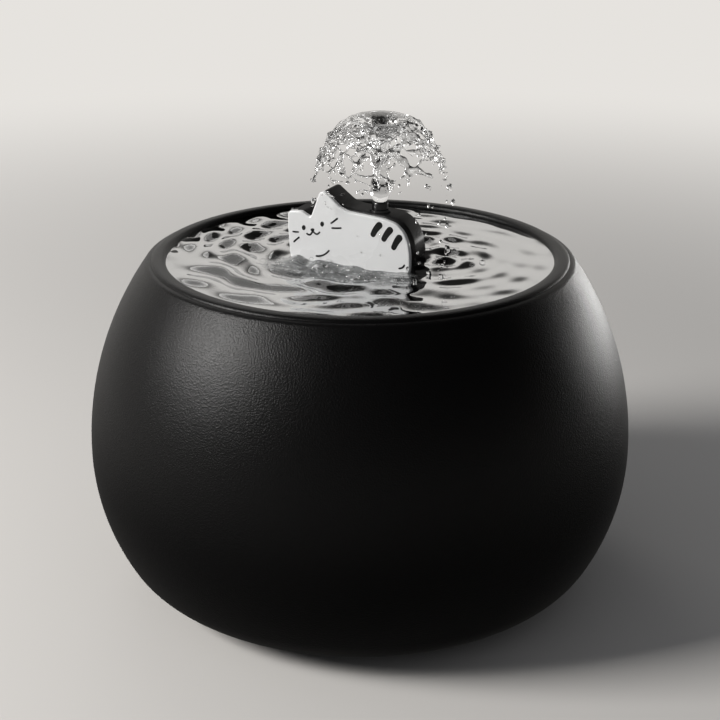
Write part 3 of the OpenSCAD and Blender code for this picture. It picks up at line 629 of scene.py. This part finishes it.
riserAxis = (8.6, -1.5)
water = {
    "level": 123.2,
    "edge": 69.85,
    "rings": 210,
    "turns": 420,
    "sink": 0.15,          # the ripples' mean lies this far under the level
    "calmReach": 7.0,      # the ripples fade this close to the wall, to a share of them
    "calmShare": 0.25,
    "climb": 0.35,         # how far the water climbs the wall
    "climbReach": 0.9,
    # out from the edge and down from the level
    "skirt": [(0.5, 1.0), (1.4, 2.0), (2.4, 3.0)],
    "seed": 11,
    # one ring round the nozzle: height, wavelength, radius of its peak and reach
    "ring": (0.12, 10.5, 30, 24),
    "drops": 15,
    "landing": 24.0,       # where the bell falls back, from its axis
    "landingSpread": (-4, 3),
    "dropWave": (7.5, 14.0),
    "dropHeight": (0.14, 0.34),
    "dropReach": 26,
    "swells": 6,
    "swellWave": (12, 22),
    "swellHeight": 0.08,
    # the ripples run wider and flatter on the side away from the cat's head
    "flatTurn": 20,
    "flatFrom": 20,
    "flatSpan": 9,
    "steepShare": 2.1,
    "flatLoss": 1.5,
    "dip": 1.2,            # how far the surface sinks along the cat's front
    "dipHalf": 28,
    "dipAt": -10,
    "dipReach": 8,
    "dipCalm": 0.45,
}


def rippleHeights(x, y):
    w = water
    draw = random.Random(w["seed"])
    heights = np.zeros_like(x)
    out = np.hypot(x - riserAxis[0], y - riserAxis[1])
    height, length, peak, fade = w["ring"]
    heights += height * np.cos(2 * np.pi * out / length) * np.exp(-np.abs(out - peak) / fade)
    for _ in range(w["drops"]):
        turn = draw.uniform(0, 2 * math.pi)
        reach = w["landing"] + draw.uniform(*w["landingSpread"])
        away = np.hypot(
            x - riserAxis[0] - reach * math.cos(turn), y - riserAxis[1] - reach * math.sin(turn))
        length = draw.uniform(*w["dropWave"])
        size = draw.uniform(*w["dropHeight"])
        phase = draw.uniform(0, 2 * math.pi)
        heights += size * np.cos(2 * np.pi * away / length + phase) * np.exp(-away / w["dropReach"])
    for _ in range(w["swells"]):
        turn = draw.uniform(0, 2 * math.pi)
        length = draw.uniform(*w["swellWave"])
        along = x * math.cos(turn) + y * math.sin(turn)
        heights += w["swellHeight"] * np.cos(2 * np.pi * along / length + draw.uniform(0, 6))
    flatTurn = math.radians(w["flatTurn"])
    side = x * math.cos(flatTurn) + y * math.sin(flatTurn)
    heights *= w["steepShare"] - w["flatLoss"] / (1 + np.exp(-(side - w["flatFrom"]) / w["flatSpan"]))
    nearCat = np.exp(-(x / w["dipHalf"]) ** 4 - ((y - w["dipAt"]) / w["dipReach"]) ** 2)
    return heights * (1 - w["dipCalm"] * nearCat) - w["dip"] * nearCat


def makeWater():
    w = water
    radii = np.linspace(0, 1, w["rings"] + 1)[1:] * w["edge"]
    turns = np.arange(w["turns"]) * 2 * np.pi / w["turns"]
    x = np.outer(radii, np.cos(turns))
    y = np.outer(radii, np.sin(turns))
    inward = w["edge"] - radii
    calm = np.clip(inward / w["calmReach"], 0, 1) ** 0.6
    climb = w["climb"] * np.exp(-inward / w["climbReach"])
    share = w["calmShare"] + (1 - w["calmShare"]) * calm
    z = w["level"] + rippleHeights(x, y) * share[:, None] + climb[:, None] - w["sink"]
    top = rippleHeights(np.zeros(1), np.zeros(1))[0] + w["level"] - w["sink"]
    points = [(0.0, 0.0, top)] + list(zip(x.ravel(), y.ravel(), z.ravel()))
    m = w["turns"]
    faces = [(0, 1 + k, 1 + (k + 1) % m) for k in range(m)]
    for ring in range(w["rings"] - 1):
        start = 1 + ring * m
        for k in range(m):
            n = (k + 1) % m
            faces.append((start + k, start + m + k, start + m + n, start + n))
    last = 1 + (w["rings"] - 1) * m
    for out, down in w["skirt"]:
        start = len(points)
        points += [
            ((w["edge"] + out) * c, (w["edge"] + out) * s, w["level"] - down)
            for c, s in zip(np.cos(turns), np.sin(turns))]
        for k in range(m):
            n = (k + 1) % m
            faces.append((last + k, start + k, start + n, last + n))
        last = start
    centre = len(points)
    points.append((0.0, 0.0, w["level"] - w["skirt"][-1][1]))
    faces += [(last + k, centre, last + (k + 1) % m) for k in range(m)]
    obj = addPiece("rippledWater", points, faces, "bowl", "water", ["water_surface"], 60)
    # the sheet's underside goes on as water, so it neither mirrors nor bends
    obj.data.materials.append(makeFinish(waterFinish, "waterBelow", 0.0, 1.0))
    for face in obj.data.polygons:
        if face.normal.z < 0.3:
            face.material_index = 1


makeWater()
print("water rippled")

cat = {
    "base": 123.2,         # height that the outline's corners count from
    "front": -8.0,
    "seam": -6.0,
    "back": 5.4,
    "seamGap": 0.3,
    "plateRound": 0.6,
    "plateBack": 0.25,
    "earRound": 0.8,
    "rumpRound": 2.0,
    "seamRound": 0.3,
    "inset": 0.2,          # the body's outline starts this far inside the plate's
    "backPuff": 0.75,      # how far the body stands out over that, along the back and at the rump
    "rumpPuff": 1.2,
    # x where each sets in, the span over which it does, and how often it is smoothed
    "backFrom": (-9, 8, 20),
    "rumpFrom": (2, 14, 40),
    "step": 0.45,
    "sharp": 50,
    # x, height and fillet of each corner, from the lower left round the back
    "corners": [
        (-22.45, -5.6, 0.4), (-24.55, 0.4, 9.0), (-25.15, 10.4, 20.0), (-25.15, 16.1, 1.7),
        (-19.55, 16.6, 3.0), (-15.95, 14.6, 1.0), (-11.65, 26.0, 1.9), (-4.25, 19.7, 6.0),
        (-1.05, 18.4, 9.0), (12.45, 17.4, 14.0), (17.65, 16.1, 7.0), (20.65, 13.2, 8.0),
        (22.35, 9.4, 9.0), (22.95, 5.2, 10.0), (22.95, 0.6, 9.0), (21.95, -5.6, 0.4),
    ],
}


def filletOutline(corners, step):
    # closed outline with every corner rounded, in even short steps
    outline = []
    count = len(corners)
    for k in range(count):
        here = Vector(corners[k][:2])
        before = Vector(corners[k - 1][:2]) - here
        after = Vector(corners[(k + 1) % count][:2]) - here
        # a fillet takes no more than this share of the shorter side
        room = 0.48 * min(before.length, after.length)
        before.normalize()
        after.normalize()
        half = before.angle(after) / 2
        reach = min(corners[k][2] / math.tan(half), room)
        radius = reach * math.tan(half)
        centre = here + (before + after).normalized() * radius / math.sin(half)
        first = here + before * reach - centre
        last = here + after * reach - centre
        swing = math.atan2(first.x * last.y - first.y * last.x, first.dot(last))
        steps = max(2, math.ceil(abs(swing) * radius / step))
        start = math.atan2(first.y, first.x)
        for s in range(steps + 1):
            turn = start + swing * s / steps
            outline.append(centre + Vector((math.cos(turn), math.sin(turn))) * radius)
    even = []
    for k, point in enumerate(outline):
        nextPoint = outline[(k + 1) % len(outline)]
        length = (nextPoint - point).length
        if length < 1e-4:
            continue
        steps = max(1, math.ceil(length / step))
        even += [point.lerp(nextPoint, s / steps) for s in range(steps)]
    return np.array([tuple(point) for point in even])


def outlineNormals(outline):
    following = np.roll(outline, -1, axis=0)
    along = following - np.roll(outline, 1, axis=0)
    out = np.stack([along[:, 1], -along[:, 0]], axis=1)
    out /= np.linalg.norm(out, axis=1)[:, None]
    area = np.sum(outline[:, 0] * following[:, 1] - following[:, 0] * outline[:, 1])
    return out if area > 0 else -out


def smoothRound(values, passes):
    for _ in range(passes):
        values = (np.roll(values, 1, axis=0) + values * 2 + np.roll(values, -1, axis=0)) / 4
    return values


def ringFaces(first, second, count):
    # faces between two closed rings of points, which start at these two indices
    return [
        (first + k, first + (k + 1) % count, second + (k + 1) % count, second + k)
        for k in range(count)]


def roundedSlab(outline, front, back, frontRound, backRound, base):
    # raises an outline (x, z) from y = front to y = back with rounded edges; a round may vary along it
    frontSteps, backSteps, rimStep = 7, 8, 0.35
    normals = smoothRound(outlineNormals(outline), 2)
    frontRound = np.broadcast_to(frontRound, len(outline)).astype(float)
    backRound = np.broadcast_to(backRound, len(outline)).astype(float)
    rings = []
    for k in range(frontSteps + 1):
        turn = math.radians(90 * k / frontSteps)
        rings.append((frontRound * (1 - math.sin(turn)), front + frontRound * (1 - math.cos(turn))))
    for k in range(backSteps + 1):
        turn = math.radians(90 * k / backSteps)
        rings.append((backRound * (1 - math.cos(turn)), back - backRound * (1 - math.sin(turn))))
    # one more ring inside each flat face keeps its shading flat
    rings.insert(0, (rings[0][0] + rimStep, rings[0][1]))
    rings.append((rings[-1][0] + rimStep, rings[-1][1]))
    points = []
    for inset, y in rings:
        ring = outline - normals * np.asarray(inset)[:, None]
        for (px, pz), py in zip(ring, np.broadcast_to(y, len(outline))):
            points.append((px, py, pz + base))
    count = len(outline)
    faces = [tuple(range(count))]
    for ring in range(len(rings) - 1):
        faces += ringFaces(ring * count, (ring + 1) * count, count)
    faces.append(tuple(range((len(rings) - 1) * count, len(rings) * count)))
    return points, faces


def makeCat():
    c = cat
    outline = filletOutline(c["corners"], c["step"])
    points, faces = roundedSlab(
        outline, c["front"], c["seam"] - c["seamGap"] / 2,
        c["plateRound"], c["plateBack"], c["base"])
    addPiece("catPlate", points, faces, "cat", "cat_white", ["cat_face"], c["sharp"])
    # the black body: fuller and rounder over the back and the rump than at the ears
    rump, full = (
        smoothRound(np.clip((outline[:, 0] - at) / span, 0, 1), passes)
        for at, span, passes in (c["rumpFrom"], c["backFrom"]))
    puff = c["backPuff"] * full + (c["rumpPuff"] - c["backPuff"]) * rump
    puffed = outline + outlineNormals(outline) * (puff - c["inset"])[:, None]
    backRound = c["earRound"] + (c["rumpRound"] - c["earRound"]) * rump
    points, faces = roundedSlab(
        puffed, c["seam"] + c["seamGap"] / 2, c["back"],
        c["seamRound"] + puff, backRound, c["base"])
    addPiece("catBody", points, faces, "cat", "cat_black", ["cat_shell"], c["sharp"])


def turned(x, z, angle):
    return x * math.cos(angle) - z * math.sin(angle), x * math.sin(angle) + z * math.cos(angle)


def strokeOutline(line, width, tip):
    # an ink stroke of a given width along a line, with round ends; its tip may be narrower
    capSteps = 8
    line = [Vector(point) for point in line]
    left = []
    right = []
    for k, point in enumerate(line):
        ahead = line[min(k + 1, len(line) - 1)] - line[max(k - 1, 0)]
        side = Vector((-ahead.y, ahead.x)).normalized()
        half = width / 2 * (1 + (tip - 1) * k / (len(line) - 1))
        left.append(point + side * half)
        right.append(point - side * half)

    def roundEnd(end, first):
        return [
            end + Vector(turned(*(first - end), -math.pi * s / capSteps))
            for s in range(1, capSteps)]

    return left + roundEnd(line[-1], left[-1]) + right[::-1] + roundEnd(line[0], right[0])


def curveThrough(start, middle, end, steps=12):
    # a curve that leaves the start and reaches the end on lines towards the middle point
    return [
        tuple((1 - t) ** 2 * a + 2 * t * (1 - t) * b + t * t * c for a, b, c in zip(start, middle, end))
        for t in (k / steps for k in range(steps + 1))]


def ellipseOutline(centre, wide, high, tilt, steps=28):
    outline = []
    for k in range(steps):
        turn = 2 * math.pi * k / steps
        x, z = turned(wide * math.cos(turn), high * math.sin(turn), math.radians(tilt))
        outline.append((centre[0] + x, centre[1] + z))
    return outline


facePrint = {
    "lift": 0.05,
    "sink": 0.1,
    # centre, half width, half height and tilt
    "dots": [((-18.6, 10.6), 0.75, 0.95, -12), ((-11.2, 12.8), 0.75, 0.95, -12),
             ((-15.1, 10.2), 0.8, 0.55, 14)],
    # start, bend and end of each thin line
    "lines": [
        ((-15.0, 9.9), (-15.8, 7.5), (-17.3, 8.5)),
        ((-15.0, 9.9), (-13.5, 7.9), (-12.3, 9.6)),
        ((-7.6, 13.6), (-6.4, 14.5), (-5.2, 15.5)),
        ((-7.2, 11.8), (-5.6, 11.9), (-3.8, 12.2)),
        ((-22.9, 8.6), (-21.9, 8.6), (-20.9, 8.7)),
        ((-22.6, 4.9), (-21.6, 5.9), (-20.6, 6.7)),
        ((-13.6, 0.6), (-10.6, 0.7), (-8.6, 3.2)),
        ((20.9, 1.6), (20.4, 0.4), (19.0, 0.2)),
    ],
    "lineWidth": 0.66,
    "lineTip": 1.0,        # share of the width that is left at the far end
    # upper end, bend and lower end of each tabby stripe
    "stripes": [
        ((11.2, 15.0), (9.8, 13.6), (8.8, 11.4)),
        ((15.3, 13.7), (14.0, 12.3), (13.0, 10.2)),
        ((18.9, 11.3), (17.7, 9.8), (16.8, 7.6)),
    ],
    "stripeWidth": 2.5,
    "stripeTip": 0.8,
}


def makePrint():
    p = facePrint
    # flat ink shapes, a hair thick, on the plate's front
    shapes = [ellipseOutline(*dot) for dot in p["dots"]]
    for lines, width, tip in ("lines", "lineWidth", "lineTip"), ("stripes", "stripeWidth", "stripeTip"):
        shapes += [strokeOutline(curveThrough(*line), p[width], p[tip]) for line in p[lines]]
    points = []
    faces = []
    for shape in shapes:
        start = len(points)
        count = len(shape)
        for y in (cat["front"] - p["lift"], cat["front"] + p["sink"]):
            points += [(x, y, z + cat["base"]) for x, z in shape]
        faces.append(tuple(range(start, start + count)))
        faces.append(tuple(range(start + count, start + 2 * count)))
        faces += ringFaces(start, start + count, count)
    addPiece("catPrint", points, faces, "cat", "cat_black", (), 40, inkFinish)


makeCat()
makePrint()
print("cat figure and its print made")

bell = {
    "top": 176.6,
    # radius and depth under the top, down the falling film
    "outline": [(0.0, 0.0), (5.0, 0.25), (10.0, 1.55), (14.6, 4.2), (18.5, 9.8), (21.2, 15.4),
                (23.4, 21.0), (24.5, 27.0), (25.0, 33.0), (25.2, 38.0)],
    "wide": 24.4,
    # distances down the film: its whole cap, its torn edge, and where it wrinkles and thins out
    "capEdge": 13.0,
    "end": 38.3,
    "wrinkleFrom": 11,
    "wrinkleSpan": 4,
    "thinFrom": 17,
    "thinSpan": 22,
    "tears": [(3.0, 3, 1.0), (2.0, 7, 2.0)],   # waves of the torn edge: height, count and phase
    "tearSlope": 0.6,
    "holeCells": 150,
    "cellStretch": 1.55,   # cells are wider than tall
    "cellBend": 2.2,
    "bendScale": 0.2,
    "wholeShare": 0.18,    # share of the cells that stay shut near the cap
    # half of a strand's width: under the cap, at the end, more where strands meet or a cell is shut
    "strand": (2.4, 0.34, 0.3, 3.0),
    "strandBend": 1.26,
    "knotReach": 0.9,
    "capWide": 9,          # over the cap every strand is wider than its cell
    "capSpan": 4,
    "wrinkleScale": 0.55,
    "wrinkleLow": 0.35,    # share of the wrinkles' height where they start
    "beadSize": 1.3,
    "beadFrom": 0.4,       # beads keep this far from a torn edge
    "grid": 0.36,
    "film": 0.34,          # half of the film's thickness
    "rim": 0.62,           # half of the thickness of a torn edge
    "rimLoss": 0.25,
    "thinnest": 0.05,
    "voxel": 0.30,
    "smoothing": 9,
    "crown": 0.6,
    "seed": 5,
    "bendSeed": 8,         # without one, noise_vector starts from the clock
    # rising jet: radius and height of its points, from the nozzle up to a dish under the cap
    "jet": [(0.0, 144.9), (1.7, 144.95), (2.7, 145.7), (3.4, 147.2), (3.6, 149.2), (3.2, 151.4),
            (2.9, 153.4), (3.2, 156.0), (3.6, 158.4), (3.2, 161.0), (2.95, 163.5), (3.1, 165.6),
            (3.5, 167.6), (4.3, 169.4), (5.6, 170.9), (7.2, 172.2), (8.8, 173.3), (9.9, 174.3),
            (9.7, 174.9), (8.6, 174.6), (6.5, 173.9), (3.5, 173.4), (0.0, 173.2)],
    "jetTurns": 72,
    "jetSwell": 0.42,
    "jetCalm": (146, 171),     # heights where the jet's swelling starts and ends
    "drops": 64,
    "dropSpread": (-1.0, 1.4),
    "dropHeights": (124, 152),
    "dropSize": (0.28, 0.75),
    "dropStretch": (0.9, 2.2),
    "faceHalf": 25,        # few drops cross the cat's face
    "faceSkip": 0.85,
}


def softCurve(points, steps):
    # a smooth line through the points
    line = []
    last = len(points) - 1
    for k in range(last):
        a, b, c, d = (Vector(points[min(max(k + s, 0), last)]) for s in (-1, 0, 1, 2))
        for s in range(steps):
            t = s / steps
            line.append(tuple(0.5 * (
                2 * b + (c - a) * t + (2 * a - 5 * b + 4 * c - d) * t ** 2
                + (3 * b - a - 3 * c + d) * t ** 3)))
    line.append(tuple(points[last]))
    return line


def bellProfile():
    # radius and height of the falling film, in even steps along it
    radii, depths = np.array(softCurve(bell["outline"], 40)).T
    heights = bell["top"] - bell["film"] - depths
    length = np.concatenate([[0], np.cumsum(np.hypot(np.diff(radii), np.diff(heights)))])
    even = np.arange(bell["grid"], length[-1], bell["grid"])
    return np.interp(even, length, radii), np.interp(even, length, heights), even


def swept(radii, heights, angle):
    # a grid of points or directions: rows down the film, columns round it
    return np.stack([
        np.outer(radii, np.cos(angle)), np.outer(radii, np.sin(angle)),
        np.repeat(heights[:, None], len(angle), axis=1)], axis=2)


def overGrid(places, measure):
    return np.array([[measure(Vector(place)) for place in row] for row in places])


def tornFilm():
    # the film breaks into a web: cells open where it has stretched thin, and strands stay between them
    f = bell
    draw = random.Random(f["seed"])
    noise.seed_set(f["bendSeed"])
    radii, heights, along = bellProfile()
    rows = len(radii)
    turns = int(2 * math.pi * f["wide"] / f["grid"])
    angle = np.arange(turns) * 2 * np.pi / turns
    places = swept(radii, heights, angle)
    slopeR = np.gradient(radii)
    slopeZ = np.gradient(heights)
    size = np.hypot(slopeR, slopeZ)
    normals = swept(-slopeZ / size, slopeR / size, angle)
    seeds = []
    keeps = []
    for _ in range(f["holeCells"]):
        row = int(rows * draw.uniform(0.2, 1.0) ** 0.8)
        column = draw.randrange(turns)
        seeds.append(places[min(row, rows - 1), column])
        keeps.append(draw.uniform(0, 1))
    # noise bends the cells' borders
    stretch = np.array([1.0, 1.0, f["cellStretch"]])
    bend = overGrid(places, lambda place: tuple(noise.noise_vector(place * f["bendScale"])))
    flat = ((places + bend * f["cellBend"]) * stretch).reshape(-1, 3).astype(np.float32)
    seeds = (np.array(seeds) * stretch).astype(np.float32)
    away = np.sqrt(np.maximum(
        np.sum(flat ** 2, axis=1)[:, None] + np.sum(seeds ** 2, axis=1)[None, :]
        - 2 * flat @ seeds.T, 0))
    near = np.argsort(away, axis=1)[:, :3]
    first, second, third = (np.take_along_axis(away, near, axis=1)[:, k] for k in range(3))
    gap = np.linalg.norm(seeds[near[:, 0]] - seeds[near[:, 1]], axis=1) + 1e-6
    border = ((second ** 2 - first ** 2) / (2 * gap)).reshape(rows, turns)
    knot = np.exp(-(third - second) / f["knotReach"]).reshape(rows, turns)
    kept = np.array(keeps)[near[:, 0]].reshape(rows, turns)
    fall = np.clip((along - f["thinFrom"]) / f["thinSpan"], 0, 1)[:, None]
    wide, thin, knotted, shut = f["strand"]
    half = wide * (1 - fall) ** 2 + thin + knotted * knot
    half = half + (kept < f["wholeShare"]) * shut * (1 - fall)
    half = half * (1 + f["strandBend"] * bend[:, :, 0])
    # the cap stays whole and even
    half += f["capWide"] * np.clip((f["capEdge"] - along) / f["capSpan"], 0, 1)[:, None]
    end = f["end"]
    for height, count, phase in f["tears"]:
        end = end + height * np.sin(angle * count + phase)
    edge = np.minimum(half - border, (end[None, :] - along[:, None]) * f["tearSlope"])
    rim = np.minimum(f["rim"] * (1 - f["rimLoss"] * fall), np.maximum(half, f["thinnest"]))
    bulge = np.sqrt(np.clip(rim ** 2 - (np.clip(edge, 0, None) - rim) ** 2, 0, None))
    thick = np.where(edge < rim, bulge, np.maximum(bulge, f["film"]))
    wrinkles = overGrid(places, lambda place: noise.noise(place * f["wrinkleScale"]))
    start = np.clip((along - f["wrinkleFrom"]) / f["wrinkleSpan"], 0, 1)[:, None]
    beaded = start * np.clip(wrinkles, 0, 1) * f["beadSize"] * (edge > f["beadFrom"])
    thick = np.maximum(thick, f["thinnest"]) + beaded
    rise = start * (f["wrinkleLow"] + (1 - f["wrinkleLow"]) * fall) * wrinkles
    places = places + normals * rise[:, :, None]
    outer = places + normals * thick[:, :, None]
    inner = places - normals * thick[:, :, None]
    inside = edge > 0
    cells = inside[:-1] & inside[1:]
    cells = cells & np.roll(cells, -1, axis=1)
    total = rows * turns
    faces = []
    for i in range(rows - 1):
        for j in range(turns):
            if not cells[i, j]:
                continue
            n = (j + 1) % turns
            a, b, c, d = (
                row * turns + column for row, column in ((i, j), (i, n), (i + 1, n), (i + 1, j)))
            faces.append((a, b, c, d))
            faces.append((total + d, total + c, total + b, total + a))
            if i == 0 or not cells[i - 1, j]:
                faces.append((a, total + a, total + b, b))
            if i == rows - 2 or not cells[i + 1, j]:
                faces.append((d, c, total + c, total + d))
            if not cells[i, j - 1]:
                faces.append((a, d, total + d, total + a))
            if not cells[i, n]:
                faces.append((b, total + b, total + c, c))
    points = np.concatenate([outer.reshape(-1, 3), inner.reshape(-1, 3)])
    points[:, :2] += riserAxis
    return points.tolist(), faces


def jetColumn():
    # the rising jet swells, narrows and flares into a dish under the clear cap
    points, faces = lathe(softCurve(bell["jet"], 4), bell["jetTurns"], riserAxis)
    low, high = bell["jetCalm"]
    wavy = []
    for x, y, z in points:
        swell = noise.noise(Vector((x * 0.45, y * 0.45, z * 0.22)))
        share = bell["jetSwell"] * swell
        share *= min(1.0, max(0.0, (high - z) / 8)) * min(1.0, max(0.0, (z - low) / 4))
        wavy.append((x + (x - riserAxis[0]) * share, y + (y - riserAxis[1]) * share, z))
    return wavy, faces


def ballPoints(centre, radius, stretch=(1, 1, 1), turns=12, rows=8):
    profile = [(math.sin(math.pi * k / rows), -math.cos(math.pi * k / rows)) for k in range(rows + 1)]
    points, faces = lathe(profile, turns)
    placed = [
        tuple(centre[i] + radius * stretch[i] * point[i] for i in range(3)) for point in points]
    return placed, faces


def joinMeshes(parts):
    points = []
    faces = []
    for somePoints, someFaces in parts:
        start = len(points)
        points += somePoints
        faces += [tuple(index + start for index in face) for face in someFaces]
    return points, faces


def aroundRiser(reach, turn):
    return riserAxis[0] + reach * math.cos(turn), riserAxis[1] + reach * math.sin(turn)


def makeBell():
    f = bell
    draw = random.Random(f["seed"] + 1)
    crown = ballPoints((*riserAxis, f["top"] - f["film"]), f["crown"], (1, 1, 0.5))
    points, faces = joinMeshes([tornFilm(), jetColumn(), crown])
    obj = addPiece("waterBell", points, faces, "nozzle", "water_sheet", ["water_bell"])
    # film, jet and crown grow together, and their surface is smoothed
    remesh = obj.modifiers.new("unite", "REMESH")
    remesh.mode = "VOXEL"
    remesh.voxel_size = f["voxel"] * mm
    smooth = obj.modifiers.new("flow", "SMOOTH")
    smooth.factor = 0.5
    smooth.iterations = f["smoothing"]
    solid = bpy.data.meshes.new_from_object(
        obj.evaluated_get(bpy.context.evaluated_depsgraph_get()))
    obj.modifiers.clear()
    obj.data = solid
    solid.shade_smooth()
    print("water bell faces:", len(solid.polygons))
    # loose drops below the film's torn edge
    drops = []
    for _ in range(f["drops"]):
        turn = draw.uniform(0, 2 * math.pi)
        x, y = aroundRiser(f["wide"] + draw.uniform(*f["dropSpread"]), turn)
        z = draw.uniform(*f["dropHeights"])
        size = draw.uniform(*f["dropSize"])
        if y < cat["front"] and abs(x + 2) < f["faceHalf"] and draw.uniform(0, 1) < f["faceSkip"]:
            continue
        drops.append(ballPoints((x, y, z), size, (1, 1, draw.uniform(*f["dropStretch"]))))
    points, faces = joinMeshes(drops)
    addPiece("fallingDrops", points, faces, "nozzle", "water_sheet")


makeBell()
print("water bell made")

beads = {
    "seed": 23,
    "onBack": 26,
    "lowest": 6,           # above the cat's base, for the beads on its back
    "backSize": (0.35, 0.8),
    "onPlate": 5,
    "plateSize": (0.25, 0.45),
    "bubbles": 46,
    "bubbleSpread": 4.0,
    "bubbleSize": (0.4, 1.1),
    # the fine froth that the falling water stirs up before the cat: centre and spread
    "froth": 300,
    "frothX": (-2, 11),
    "frothY": (-19, 5),
    "frothHalf": 30,
    "frothSize": (0.18, 0.48),
    "frothSink": 0.2,
}


def makeBeads():
    # drops that rest on the cat, and bubbles and froth round it
    b = beads
    draw = random.Random(b["seed"])
    rested = []
    outline = filletOutline(cat["corners"], 1.0)
    for _ in range(b["onBack"]):
        x, z = outline[draw.randrange(len(outline))]
        if z < b["lowest"]:
            continue
        y = draw.uniform(cat["seam"], cat["back"] - 2)
        size = draw.uniform(*b["backSize"])
        rested.append(ballPoints((x, y, z + cat["base"]), size, (1.1, 1.1, 0.8)))
    for _ in range(b["onPlate"]):
        place = (draw.uniform(0, 20), cat["front"] - 0.05, cat["base"] + draw.uniform(3, 12))
        rested.append(ballPoints(place, draw.uniform(*b["plateSize"]), (1, 0.5, 1)))
    points, faces = joinMeshes(rested)
    addPiece("dropsOnCat", points, faces, "cat", "water_sheet")
    bubbles = []
    for _ in range(b["bubbles"]):
        turn = draw.uniform(0, 2 * math.pi)
        x, y = aroundRiser(water["landing"] + draw.gauss(0, b["bubbleSpread"]), turn)
        size = draw.uniform(*b["bubbleSize"])
        bubbles.append(ballPoints((x, y, water["level"]), size, (1, 1, 0.7), 16, 10))
    for _ in range(b["froth"]):
        x = draw.gauss(*b["frothX"])
        y = draw.gauss(*b["frothY"])
        if y > cat["front"] - 1 or abs(x) > b["frothHalf"]:
            continue
        height = water["level"] + rippleHeights(np.array([x]), np.array([y]))[0] - b["frothSink"]
        bubbles.append(ballPoints((x, y, height), draw.uniform(*b["frothSize"]), (1, 1, 0.8)))
    points, faces = joinMeshes(bubbles)
    addPiece("surfaceBubbles", points, faces, "bowl", "water_sheet")


makeBeads()
print("drops and bubbles placed")
